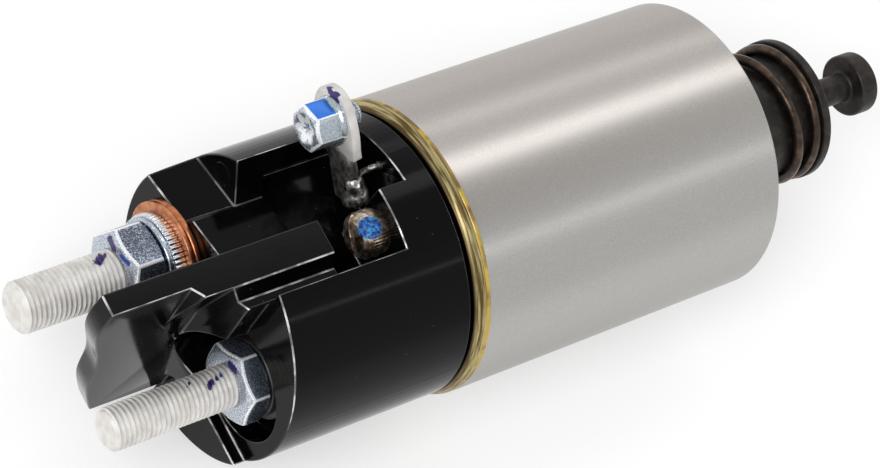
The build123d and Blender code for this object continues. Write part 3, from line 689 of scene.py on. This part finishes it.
# %% Bright zinc
def hexagon_light(f, hexagon, tone, crystals):
    """Paints a hexagon's flats darker, as painted shade, and its corners and its cone's six arcs brighter, as
    painted highlights.

    A hexagon is (left, flats, corner, y, z, low, high), and its flats are coloured from
    low to high. The arcs lie at left + (flats / 2 / cos(a) - c) tan 30.
    """
    left, flats, corner, y, z, low, high = hexagon
    turn = f.bearing(y, z) + (360.0 - corner)
    off = turn.math("MODULO", turn, 60.0) - 30.0
    reach = flats / 2 / off.math("COSINE", off * (pi / 180))
    arc = f.x - left - (reach - 0.465 * flats) * CONE
    # Painted shade: beyond the arcs the flats take the tones from low to high.
    tone = f.mix(arc.above(0.15, 0.5) * 0.85, tone, f.mix(crystals.above(0.47, 0.68), low, high))
    # Painted highlights on the corners and along the arcs.
    corners = off.math("ABSOLUTE", off).above(27.0, 28.6) * arc.above(-0.1, 0.1)
    bright = corners + arc.within(-0.1, 0.4, 0.15) * (1 - corners)
    return f.mix(bright * 0.85, tone, (0.86, 0.88, 0.90)), 0.85 - 0.45 * bright


def zinc_plate(name, strength=1.0, marks=(), light=0.0, hexagon=None, facet=None):
    """Bright zinc with a fine crystalline speckle, and strokes of paint.

    A facet is (low, high, left, right, colour): paint between two angles about the
    hexagon's line. Light is a share of pale grey.
    """
    f = Finish(name)
    dark, pale, bluish, grey = (0.20, 0.235, 0.30), (0.72, 0.77, 0.82), (0.42, 0.50, 0.66), (0.80, 0.81, 0.82)
    crystals = f.noise(2.6, 5.0, roughness=0.75)
    cloud = f.noise(0.3, 2.0)
    tone = f.mix(crystals.above(0.36, 0.64), dark, pale)
    tone = f.mix(cloud.above(0.45, 0.75) * 0.35, tone, bluish)
    tone = f.mix(light, tone, grey) if light else tone
    rough, metal = 0.17 + 0.20 * crystals, 1.0
    if hexagon:
        tone, metal = hexagon_light(f, hexagon, tone, crystals)
    tone, rough, metal = f.painted(tone, rough, metal, marks)
    if facet:
        low, high, left, right, colour = facet
        turn = f.bearing(*hexagon[3:5])
        paint = turn.within(low, high, 0.5) * f.x.within(left, right, 0.1)
        tone = f.mix(paint, tone, colour)
        rough, metal = rough + (0.2 - rough) * paint, metal * (1 - 0.6 * paint)
    return f.done(tone, rough, metal, f.bump(crystals, 0.03 * strength, 0.7))


# %% The two nuts
battery_marks = [
    ((-151.9, 22.0, 5.2), (-151.9, 20.2, 5.2), 2.3, VIOLET),
    ((-151.9, 17.2, 6.4), (-151.9, 14.9, 7.6), 1.3, BLUE),
]
motor_marks = [((-140.0, -14.0, 5.0), (-140.0, -15.4, 5.6), 2.3, VIOLET)]
# Low and high are the painted shade tones of each nut's flats.
for side, flats, corner, bore, marks, low, high in [
    ("battery", 19.0, 50, 6.05, battery_marks, (0.03, 0.042, 0.075), (0.50, 0.56, 0.64)),
    ("motor", 17.0, 20.5, 5.05, motor_marks, (0.10, 0.14, 0.20), (0.55, 0.62, 0.70)),
]:
    node = f"{side}_nut"
    left, right = span(node)
    line = axis_of(node)
    hexagon = (left, flats, corner, *line, low, high)
    zinc = zinc_plate(f"zinc_plate_{side}", marks=marks, hexagon=hexagon)
    nut_rows = hexagonal(left, right, flats, corner, *line, bore)
    fit(grid_mesh(f"{side}_hex_nut", nut_rows, True), zinc, "housing", "zinc_plate", node)

# %% [markdown]
# ## Washers
#
# Under the battery nut lie a smooth spring ring, a lock washer with a serrated rim and a
# copper washer. The serrations are radial ridges: the outline's radius falls and rises
# many times round.

# %% Copper and dark steel
def copper(name):
    f = Finish(name)
    brown, bright = (0.36, 0.115, 0.05), (0.62, 0.26, 0.125)
    cloud = f.noise(0.5, 4.0)
    lines = f.noise(4.0, 2.0, (1, 0.1, 0.1))
    tone = f.mix(cloud.above(0.35, 0.7), brown, bright)
    return f.done(tone, 0.28 + 0.15 * cloud, 1.0, f.bump(lines + cloud, 0.02, 0.5))


def dark_steel():
    f = Finish("dark_steel")
    cloud = f.noise(0.8, 4.0)
    tone = f.mix(cloud, (0.05, 0.047, 0.045), (0.16, 0.15, 0.14))
    return f.done(tone, 0.35 + 0.2 * cloud, 0.9, f.bump(cloud, 0.02, 0.5))


# %% Washers of the two studs
BATTERY_HOLE, MOTOR_HOLE = 6.3, 5.3


def washer(node, hole, edge):
    """Rows of a plain washer, as its solid's box says."""
    return turned(ring_profile(*span(node), hole, outer(node), edge), *axis_of(node))


def grooved(node, hole):
    """Rows of a washer with a shallow groove in the middle of its rim."""
    left, right = span(node)
    middle, rim = (left + right) / 2, outer(node)
    groove = [(middle - 0.35, rim), (middle, rim - 0.25), (middle + 0.35, rim)]
    corners = [(left, hole), (left, rim), *groove, (right, rim), (right, hole)]
    return turned(rounded(corners, 0.3, closed=True), *axis_of(node))


def serrated(node, hole, teeth, depth):
    """Rows of a washer with teeth: depth (0.5 - 0.5 sign(w) |w|^0.5) deep, w = cos(teeth a)."""
    left, right = span(node)
    rim, line, columns = outer(node), axis_of(node), teeth * 8
    profile = ring_profile(left, right, hole, rim, 0.25)
    grid = turned(profile, *line, columns)
    swing = np.cos(teeth * np.linspace(0, 2 * pi, columns, endpoint=False))
    wave = 0.5 - 0.5 * np.sign(swing) * np.abs(swing) ** 0.5
    plain = hole + 1.2
    reach = np.clip((profile[:, 1:] - plain) / (rim - plain), 0, 1)
    return drawn_in(grid, 1 - depth * wave * reach / profile[:, 1:], *line)


red_metal, oxide = copper("copper"), dark_steel()
copper_node, lock_node = "battery_copper_washer", "battery_lock_washer"
copper_mesh = grid_mesh("battery_copper_ring", grooved(copper_node, BATTERY_HOLE), True)
fit(copper_mesh, red_metal, "housing", "copper", copper_node)
lock_mesh = grid_mesh("battery_serrated_washer", serrated(lock_node, BATTERY_HOLE, 60, 0.3), True, 40)
fit(lock_mesh, zinc_plate("zinc_washer", 0.5, light=0.6), "housing", "zinc_plate", lock_node)
ring_zinc = zinc_plate("zinc_ring", 0.3)
for name, hole, edge, material, slot, node in [
    ("battery_smooth_ring", BATTERY_HOLE, 0.5, ring_zinc, "zinc_plate", "battery_spring_washer"),
    ("motor_flat_ring", MOTOR_HOLE, 0.3, oxide, "dark_steel", "motor_flat_washer"),
    ("motor_split_ring", MOTOR_HOLE, 0.25, oxide, "dark_steel", "motor_spring_washer"),
]:
    fit(grid_mesh(name, washer(node, hole, edge), True), material, "housing", slot, node)

# %% [markdown]
# ## Wire carried along a path
#
# Springs, leads and the terminal's strip all carry one section along a line. At each
# point of the line the section stands square to it, on two directions that are found
# from the line's own direction and a fixed guide.

# %% Sweep a section along a line
def swept(path, section, guide=(1, 0, 0)):
    """Rows of a section (columns, 2) carried along a path (rows, 3).

    With t the path's direction, n = guide - (guide . t) t made one long, b = t x n, each
    point is path + section_1 n + section_2 b. Section may differ from row to row.
    """
    t = np.gradient(path, axis=0)
    t /= np.linalg.norm(t, axis=1, keepdims=True)
    g = np.broadcast_to(np.asarray(guide, float), path.shape)
    n = g - (g * t).sum(1, keepdims=True) * t
    n /= np.linalg.norm(n, axis=1, keepdims=True)
    b = np.cross(t, n)
    section = np.broadcast_to(section, (len(path),) + section.shape[-2:])
    grid = path[:, None] + section[..., :1] * n[:, None] + section[..., 1:] * b[:, None]
    return np.concatenate([path[:1, None] + 0 * grid[:1], grid, path[-1:, None] + 0 * grid[-1:]])


def circle(radius, columns=16):
    angle = np.linspace(0, 2 * pi, columns, endpoint=False)
    return radius * np.stack([np.cos(angle), np.sin(angle)], -1)


def wound(left, right, radius, wire, turns, start=0, closed_turns=0.9, per_turn=40, columns=10):
    """A compression spring with closed, ground ends.

    The coil's place along X grows with the angle, slowly over the closed turns at each
    end, and what would pass the two seats is cut flat, as grinding does.
    """
    total = turns + 2 * closed_turns
    turn = np.linspace(0, total, int(total * per_turn))
    speed = np.where((turn < closed_turns) | (turn > total - closed_turns), 0.0, 1.0)
    window = np.hanning(int(per_turn * 0.7))
    margin = len(window)
    padded = np.pad(speed, margin, mode="edge")
    speed = np.convolve(padded, window / window.sum(), "same")[margin:-margin]
    closed_rise = 2 * wire * 0.98 * closed_turns
    open_rise = (right - left) - 2 * wire - 2 * (closed_rise - wire)
    lift, close = np.cumsum(speed), np.cumsum(1 - speed)
    lift = lift / lift[-1] * max(open_rise, 0.1)
    close = close / close[-1] * (2 * (closed_rise - wire))
    path = around(left + wire + lift + close, radius, radians(start) + 2 * pi * turn)
    grid = swept(path, circle(wire, columns))
    grid[..., 0] = np.clip(grid[..., 0], left, right)
    return grid


# %% Springs
def phosphate(name, base, warm, rough, metal):
    """A dark oxide or phosphate coat, rubbed warmer in patches."""
    f = Finish(name)
    cloud = f.noise(0.4, 4.0)
    grain = f.noise(3.5, 3.0)
    tone = f.mix(cloud.above(0.42, 0.7), base, warm)
    rough = rough + 0.14 * (grain - 0.5) + 0.1 * (cloud - 0.5)
    return f.done(tone, rough, metal, f.bump(grain + cloud, 0.03, 0.6))


spring_black = phosphate("spring_phosphate", (0.045, 0.033, 0.026), (0.11, 0.072, 0.050), 0.30, 0.9)
plunger_black = phosphate("plunger_phosphate", (0.014, 0.012, 0.011), (0.038, 0.028, 0.022), 0.46, 0.55)
bare_wire = phosphate("spring_steel", (0.25, 0.24, 0.23), (0.40, 0.39, 0.37), 0.3, 1.0)
foot_end, plug_start = -9.7, span("guide_plug")[0]


def spring(name, rows, material, body, slot, node):
    return fit(grid_mesh(name, rows, False, 50), material, body, slot, node)


coil = wound(*span("return_spring"), 16.0, 1.25, 2.4, 210, 0.85, 64, 16)
piece = spring("return_coil", coil, spring_black, "housing", "phosphate", "return_spring")
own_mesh(piece)
coil = wound(foot_end, plug_start, 5.8, 0.9, 8.0, columns=12)
piece = spring("drive_coil", coil, bare_wire, "plunger", "spring_steel", "drive_spring")
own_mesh(piece)
coil = wound(*span("reset_spring"), 3.85, 0.45, 5.0)
piece = spring("reset_coil", coil, bare_wire, "housing", "spring_steel", "reset_spring")
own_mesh(piece)
coil = wound(*span("contact_spring"), 4.3, 0.5, 3.0)
spring("contact_coil", coil, bare_wire, "contact_set", "spring_steel", "contact_spring")

# %% [markdown]
# ## Plunger, disc and knob
#
# The moving end is phosphated dark: a plunger with a neck, the disc that the spring
# pushes on, an open clip, and the thin stem whose knob the lever's fork draws back.

# %% Plunger and its disc
back, nose = span("plunger")
plunger_radius, neck, clip_groove, bore, bore_end = outer("plunger"), 12.0, 11.4, 8.0, -14.0
disc_left, disc_right = span("spring_retainer")
clip_left, clip_right = span("retainer_clip")
body_end = [(back, 0), (back, plunger_radius - 0.6), (back + 0.6, plunger_radius)]
shoulder = [(disc_left - 0.3, plunger_radius), (disc_left, plunger_radius - 0.3), (disc_left, neck)]
groove = [(clip_left, neck), (clip_left, clip_groove), (clip_right, clip_groove), (clip_right, neck)]
mouth_edge = [(nose - 0.4, neck), (nose, neck - 0.4), (nose, bore), (bore_end, bore), (bore_end, 0)]
plunger_profile = rounded(body_end + shoulder + groove + mouth_edge, 0.3)
plunger_mesh = grid_mesh("plunger_body", turned(plunger_profile, columns=128))
fit(plunger_mesh, plunger_black, "plunger", "phosphate", "plunger")
disc_radius = outer("spring_retainer")
disc_corners = [(disc_left, neck), (disc_left, disc_radius), (disc_right, disc_radius), (disc_right, neck)]
disc_rows = turned(rounded(disc_corners, 0.5, 6, True), columns=128)
disc_mesh = grid_mesh("retainer_disc", disc_rows, True)
fit(disc_mesh, plunger_black, "plunger", "phosphate", "spring_retainer")

# %% Stem with its knob
foot_start, knob_end = span("shift_stem")
foot_radius, rod_radius, knob_start, knob_radius = 7.5, 3.6, 52.0, outer("shift_stem")
foot = [(foot_start, 0), (foot_start, foot_radius), (foot_end, foot_radius), (foot_end, rod_radius)]
knob = [(knob_start, rod_radius), (knob_start, knob_radius), (knob_end, knob_radius), (knob_end, 0)]
stem_mesh = grid_mesh("knobbed_stem", turned(rounded(foot + knob, 1.0, 7)))
fit(stem_mesh, plunger_black, "stem", "phosphate", "shift_stem")
dress(oxide, "guide_plug", "retainer_clip", "contact_rod")

# %% [markdown]
# ## Switch terminal
#
# The blade is one tin-plated strip: a round end, full width at the screw, then a narrower
# leg that bends back towards the case. A strip is a path with a width that changes on
# the way, and the round end is a width that follows a circle.

# %% Strip terminal
screw_y, screw_z = axis_of("switch_screw")
blade_left = span("switch_terminal")[0]


def terminal_strip():
    """The strip's middle line, and for each of its points a rounded box for a section.

    Half the width at distance s from the round end is sqrt(R^2 - (R - s)^2) up to R,
    then R. The far side eases to the leg's width, the near side drops to it at a shoulder.
    """
    half_blade, half_leg, half_thick, screw_at = 6.5, 4.0, 1.1, 7.8
    round_end = half_blade * (1 - np.cos(np.linspace(0, pi / 2, 20)))
    s = np.concatenate([round_end, np.linspace(6.8, 29.0, 90)])
    circle_width = np.sqrt(np.maximum(half_blade**2 - (half_blade - s) ** 2, 0))
    full = np.where(s < half_blade, circle_width, half_blade)
    ease, drop = np.clip((s - 9.5) / 5.5, 0, 1), np.clip((s - 15.0) / 0.7, 0, 1)
    far = full + (half_leg - full) * ease**2 * (3 - 2 * ease) * (s > half_blade)
    near = full + (half_leg - full) * drop * (s > half_blade)
    heading = radians(210) + radians(24) * np.clip((s - 9.0) / 4.0, 0, 1)
    bend = radians(10) * np.clip((s - screw_at - 4.0) / 2.0, 0, 1)
    way = np.stack([np.sin(bend), np.cos(heading) * np.cos(bend), np.sin(heading) * np.cos(bend)], -1)
    line = np.cumsum(way * np.gradient(s)[:, None], axis=0)
    at_screw = np.array([blade_left + half_thick, screw_y, screw_z])
    path = at_screw + line - line[np.argmin(np.abs(s - screw_at))]
    corner = np.array([(1, 0.6), (0.96, 0.88), (0.86, 1), (-0.86, 1), (-0.96, 0.88), (-1, 0.6)])
    outline = np.concatenate([corner, -corner])
    half = np.where(outline[:, 1] > 0, near[:, None], far[:, None])
    across = np.sign(outline[:, 1]) * (half - 0.35 * (1 - np.abs(outline[:, 1])) * (half > 0.4))
    return path, np.stack([half_thick * outline[:, 0] + 0 * half, across], -1)


blade_paint = [
    ((-103.3, 27.6, 36.0), (-103.3, 24.8, 36.4), 2.1, VIOLET),
    ((-103.3, 25.6, 38.0), (-103.3, 26.4, 34.0), 1.5, VIOLET),
]
blade_plate = tin_plate("tin_plate_blade", blade_paint, 27.6, 0.15)
strip_mesh = grid_mesh("terminal_strip", swept(*terminal_strip()), False, 40)
fit(strip_mesh, blade_plate, "housing", "tin_plate", "switch_terminal")

# %% Flanged screw through the blade
head_left, head_right, head_flats, head_corner = -110.6, -104.4, 10.0, 40
# Painted light: the head's flats are coloured from flats_low to flats_high, and its corners and arcs carry
# painted highlights.
flats_low, flats_high = (0.34, 0.40, 0.44), (0.62, 0.68, 0.72)
head = (head_left, head_flats, head_corner, screw_y, screw_z, flats_low, flats_high)
blue_facet = (42, 98, -109.8, -105.0, (0.02, 0.16, 0.62))
screw_zinc = zinc_plate("zinc_screw", 0.5, hexagon=head, facet=blue_facet)


def dished_head(dish_radius=4.1, dish_depth=0.9):
    """A hexagon head with a dish in its end: depth (1 - t^2)^2, t from middle to rim."""
    rows = hexagonal(head_left, head_right, head_flats, head_corner, screw_y, screw_z, 0.0, 0.86, False, 0.2)
    t = np.linspace(0, 1, 12)[:-1, None]
    angle = np.linspace(0, 2 * pi, rows.shape[1], endpoint=False)
    dish = around(head_left + dish_depth * (1 - t**2) ** 2, dish_radius * t, angle, screw_y, screw_z)
    return np.concatenate([dish, rows[2:]])


flange_corners = [(-104.7, 0), (-104.7, 4.9), (head_right, 5.3), (-103.8, 5.8)]
flange_corners += [(blade_left, 5.8), (blade_left, 0)]
flange_rows = turned(rounded(flange_corners, 0.25), screw_y, screw_z)
shank_rows = threaded(span("switch_screw")[1], -103.3, 3.0, 1.0, screw_y, screw_z, 0.6, 48)
fit(grid_mesh("switch_screw_head", dished_head()), screw_zinc, "housing", "zinc_plate", "switch_screw")
fit(grid_mesh("switch_screw_flange", flange_rows), screw_zinc, "housing", "zinc_plate")
fit(grid_mesh("switch_screw_thread", shank_rows), screw_zinc, "housing", "zinc_plate")

# %% [markdown]
# ## Solder and lead
#
# The coil's lead comes out of the cap and is soldered to the leg. Solder is a drop that
# wetted the metal: a sphere pressed flat, with slow lumps.

# %% Solder drop
def soft_solder():
    f = Finish("solder")
    dull, bright = (0.17, 0.155, 0.14), (0.68, 0.675, 0.66)
    cloud = f.noise(0.9, 3.0)
    comb = f.noise(1.6, 3.0, (0.5, 1, 1))
    tone = f.mix(cloud.above(0.32, 0.66), dull, bright)
    return f.done(tone, 0.30 + 0.2 * cloud, 1.0, f.bump(cloud + comb * 0.5, 0.2, 0.8))


def drop(centre, radii, lumps, rows=28, columns=40):
    """A lumpy ellipsoid: each radius times 1 + lumps * sin sums of both angles."""
    v = np.linspace(0, pi, rows)[:, None]
    u = np.linspace(0, 2 * pi, columns, endpoint=False)
    swell = 1 + lumps * np.sin(v) * (np.sin(2 * u + 3 * v) + 0.6 * np.sin(3 * u - 2 * v + 1))
    shape = np.stack([np.sin(v) * np.cos(u), np.sin(v) * np.sin(u), np.cos(v) + 0 * u], -1)
    return np.asarray(centre) + shape * swell[..., None] * np.asarray(radii)


solder = soft_solder()
drop_mesh = grid_mesh("solder_drop", drop((-99.9, 9.9, 19.4), (2.5, 3.7, 4.0), 0.2), False, 180)
fit(drop_mesh, solder, "housing", "solder", "solder_joint")

# %% The lead that the solder holds
def lead_path(rows=60, reach=6):
    """The lead's line: a straight run inside, then given points that are smoothed.

    The first three smoothed points repeat the straight run's end, and are left out.
    """
    bends = [(-96.0, 10.5, 27.68), (-97.2, 10.5, 27.68), (-98.0, 10.8, 26.9)]
    bends += [(-98.35, 11.4, 24.6), (-98.5, 12.2, 20.8), (-98.1, 11.0, 18.6)]
    run_inside = [(span("switch_lead")[1], 10.5, 27.68), (-95.0, 10.5, 27.68)]
    points = np.array(bends)
    fine, knots = np.linspace(0, 1, rows), np.linspace(0, 1, len(points))
    kernel = np.hanning(2 * reach + 1) / np.hanning(2 * reach + 1).sum()
    smooth = []
    for values in points.T:
        padded = np.pad(np.interp(fine, knots, values), reach, mode="edge")
        smooth.append(np.convolve(padded, kernel, "valid"))
    return np.concatenate([run_inside, np.stack(smooth, -1)[3:]])


lead_rows = swept(lead_path(), circle(0.7, 14), (0, 1, 0))
lead_mesh = grid_mesh("soldered_lead", lead_rows, False, 60)
fit(lead_mesh, solder, "housing", "tinned_wire", "switch_lead")

# %% [markdown]
# ## Earth screw
#
# A slotted screw sits in the pocket. It is nickelled and has tarnished brown. Its head is
# a dome, and the slot is cut by sinking the points near one line across it.

# %% Slotted screw in the pocket
def brown_nickel():
    """Tarnished nickel with a mottled blue spot of paint on its dome."""
    f = Finish("brown_nickel")
    spot_centre, spot_radius = (-107.2, -3.0, 29.4), 2.65
    cloud = f.noise(0.7, 4.0)
    tone = f.mix(cloud.above(0.38, 0.66), (0.26, 0.18, 0.12), (0.80, 0.69, 0.58))
    near = f.vector("DISTANCE", f.place, spot_centre, 1)
    ragged = near + 1.0 * (f.noise(0.9, 2.0) - 0.5)
    spot = 1 - ragged.above(spot_radius - 0.15, spot_radius + 0.15)
    blue = f.mix(f.noise(1.2, 3.0).above(0.4, 0.6), (0.004, 0.02, 0.16), (0.02, 0.20, 0.50))
    tone = f.mix(spot, tone, blue)
    return f.done(tone, 0.3 + 0.15 * cloud, 1 - 0.8 * spot, f.bump(cloud, 0.05, 0.6))


def slotted_head(node, slot=1.3, slot_angle=36, ribs=44, columns=352):
    """The earth screw: a domed head with a slot and a ribbed side, and its shank.

    A point of the dome sinks to the slot's floor where its distance to the slot's middle
    line is under half the slot's width.
    """
    top, end = span(node)
    radius, line = outer(node), axis_of(node)
    dome = [(top, 0), (top, 2.4), (top + 0.25, 3.9), (top + 1.0, 4.9), (top + 2.1, radius)]
    t, knots = np.linspace(0, 1, 60), np.linspace(0, 1, len(dome))
    dome_rows = np.stack([np.interp(t, knots, values) for values in np.transpose(dome)], -1)
    side = [(top + 5.6, radius), (top + 6.3, 5.1), (top + 6.6, 5.0), (top + 6.6, 2.5), (end, 2.5), (end, 0)]
    profile = np.concatenate([dome_rows, np.array(side)])
    x, r = profile[:, :1], profile[:, 1:]
    angle = np.linspace(0, 2 * pi, columns, endpoint=False)
    off = r * np.sin(angle - radians(slot_angle))
    cut = np.clip((0.5 * slot + 0.12 - np.abs(off)) / 0.24, 0, 1) * (x < top + 2.6)
    grid = turned(profile, *line, columns)
    sunk = x * (1 - cut) + (top + 1.5) * cut
    grid[..., 0] = np.where(cut > 0, np.maximum(x, sunk), x)
    rib = 0.10 * (0.5 + 0.5 * np.cos(ribs * angle)) * ((x > top + 1.9) & (x < top + 6.4))
    return drawn_in(grid, 1 - rib / np.maximum(r, 1), *line)


earth_mesh = grid_mesh("earth_screw_head", slotted_head("earth_screw"), False, 30)
fit(earth_mesh, brown_nickel(), "housing", "brown_nickel", "earth_screw")

# %% [markdown]
# ## Inside
#
# Nothing inside shows from outside, but the part can be opened or cut through, so the
# coil, the core and the contacts get their own finishes as well.

# %% Finishes of the inner pieces
def plain_finish(name, low, high, rough, metal):
    f = Finish(name)
    cloud = f.noise(0.8, 4.0)
    uneven = rough + 0.12 * (cloud - 0.5)
    return f.done(f.mix(cloud, low, high), uneven, metal, f.bump(cloud, 0.03, 0.5))


def wound_copper():
    """Enamelled wire seen side by side: a ridge for each millimetre of the axis."""
    f = Finish("enamelled_copper")
    ridge = (f.x * (pi / 0.5)).math("SINE", f.x * (pi / 0.5))
    # The tone darkens in the grooves between turns: painted shade.
    tone = f.mix(ridge.above(-1.0, 0.6), (0.10, 0.03, 0.012), (0.46, 0.17, 0.06))
    return f.done(tone, 0.28, 0.55, f.bump(ridge, 0.15, 0.8), {"Coat Weight": 0.6})


dress(wound_copper(), "hold_in_winding", "pull_in_winding", "motor_lead")
seals = ["core_gasket", "battery_stud_seal", "motor_stud_seal"]
for name, low, high, rough, metal, nodes in [
    ("nylon", (0.55, 0.50, 0.38), (0.66, 0.61, 0.48), 0.5, 0.0, ["bobbin"]),
    ("core_iron", (0.32, 0.31, 0.30), (0.48, 0.47, 0.46), 0.4, 1.0, ["core_plate"]),
    ("brass", (0.60, 0.42, 0.14), (0.74, 0.56, 0.24), 0.3, 1.0, ["guide_sleeve"]),
    ("rubber", (0.012, 0.012, 0.012), (0.03, 0.03, 0.03), 0.7, 0.0, seals),
    ("phenolic", (0.16, 0.06, 0.03), (0.26, 0.11, 0.05), 0.5, 0.0, ["insulating_bush", "insulating_washer"]),
]:
    dress(plain_finish(name, low, high, rough, metal), *nodes)
dress(copper("contact_copper"), "contact_disc")
dress(bare_wire, "rod_clip")

# %% [markdown]
# ## Floor
#
# The part lies on a white sheet. What the camera and bright metal see of the sheet is
# partly a glow, so it stays white with only a light shadow under the part. The glow adds
# no soft light to the part.

# %% White sheet that keeps a light shadow
def white_sheet(glow_share=0.45):
    """White paper, mixed with a glow for camera, glossy and transmission rays alone."""
    f = Finish("white_sheet")
    f.done((0.95, 0.95, 0.95), 0.9, others={"Specular IOR Level": 0.0})
    rays = f.tree.nodes.new("ShaderNodeLightPath").outputs
    seen, glossy = Wire(f, rays["Is Camera Ray"]), Wire(f, rays["Is Glossy Ray"])
    mirrored = glossy.math("MAXIMUM", glossy, Wire(f, rays["Is Transmission Ray"]))
    share = seen.math("MAXIMUM", seen, mirrored) * glow_share
    glow = f.add("ShaderNodeEmission")
    blend = f.add("ShaderNodeMixShader", {}, {0: share, 1: Wire(f, f.shader.outputs[0]), 2: glow})
    f.tree.links.new(blend.socket, f.tree.nodes["Material Output"].inputs["Surface"])
    return f.material


floor_z = cad_box[0][2]
half_side = 12.0
square = [(-1, -1), (1, -1), (1, 1), (-1, 1)]
floor_mesh = bpy.data.meshes.new("floor")
floor_mesh.from_pydata([(x * half_side, y * half_side, floor_z) for x, y in square], [], [(0, 1, 2, 3)])
floor = bpy.data.objects.new("floor", floor_mesh)
bpy.context.collection.objects.link(floor)
floor_mesh.materials.append(white_sheet())
print("floor at", round(floor_z, 4))

# %% [markdown]
# ## Light
#
# A pale room lights the part from all round, a little less from straight above. One
# square box lights the cap's end. A turned cylinder shows a lamp as a long band down its
# length, so three long boxes beside the case place its bands.

# %% World and lamps
def pale_room():
    """A white world whose strength falls from 0.86 at the sides to 0.6 overhead."""
    world = bpy.data.worlds.new("studio")
    world.use_nodes = True
    nodes, links = world.node_tree.nodes, world.node_tree.links
    way = nodes.new("ShaderNodeSeparateXYZ")
    overhead = nodes.new("ShaderNodeMapRange")
    overhead.interpolation_type = "SMOOTHSTEP"
    for socket, value in {"From Min": 0.55, "From Max": 0.95, "To Min": 0.86, "To Max": 0.6}.items():
        overhead.inputs[socket].default_value = value
    links.new(nodes.new("ShaderNodeTexCoord").outputs["Generated"], way.inputs[0])
    links.new(way.outputs["Z"], overhead.inputs["Value"])
    nodes["Background"].inputs["Color"].default_value = (1, 1, 1, 1)
    links.new(overhead.outputs["Result"], nodes["Background"].inputs["Strength"])
    return world


def soft_box(name, place, target, width, height, power):
    """An area lamp that faces its target."""
    data = bpy.data.lights.new(name, "AREA")
    data.shape, data.size, data.size_y, data.energy = "RECTANGLE", width, height, power
    lamp = bpy.data.objects.new(name, data)
    bpy.context.collection.objects.link(lamp)
    lamp.location = place
    lamp.rotation_mode = "QUATERNION"
    lamp.rotation_quaternion = (Vector(target) - Vector(place)).to_track_quat("-Z", "Y")


bpy.context.scene.world = pale_room()
soft_box("main_box", (-0.9, -0.2, 0.9), (-0.06, 0, 0), 0.55, 0.55, 8.0)
soft_box("band_box", (0.45, 0.34, 0.74), (0.45, 0.0, 0.0), 0.9, 0.2, 1.15)
soft_box("far_strip", (0.45, 0.75, 0.41), (0.45, 0.0, 0.0), 0.9, 0.14, 0.3)
soft_box("edge_strip", (0.42, -0.55, 0.62), (0.42, 0.0, 0.0), 1.1, 0.025, 0.3)
bpy.context.scene.view_settings.view_transform = "Standard"
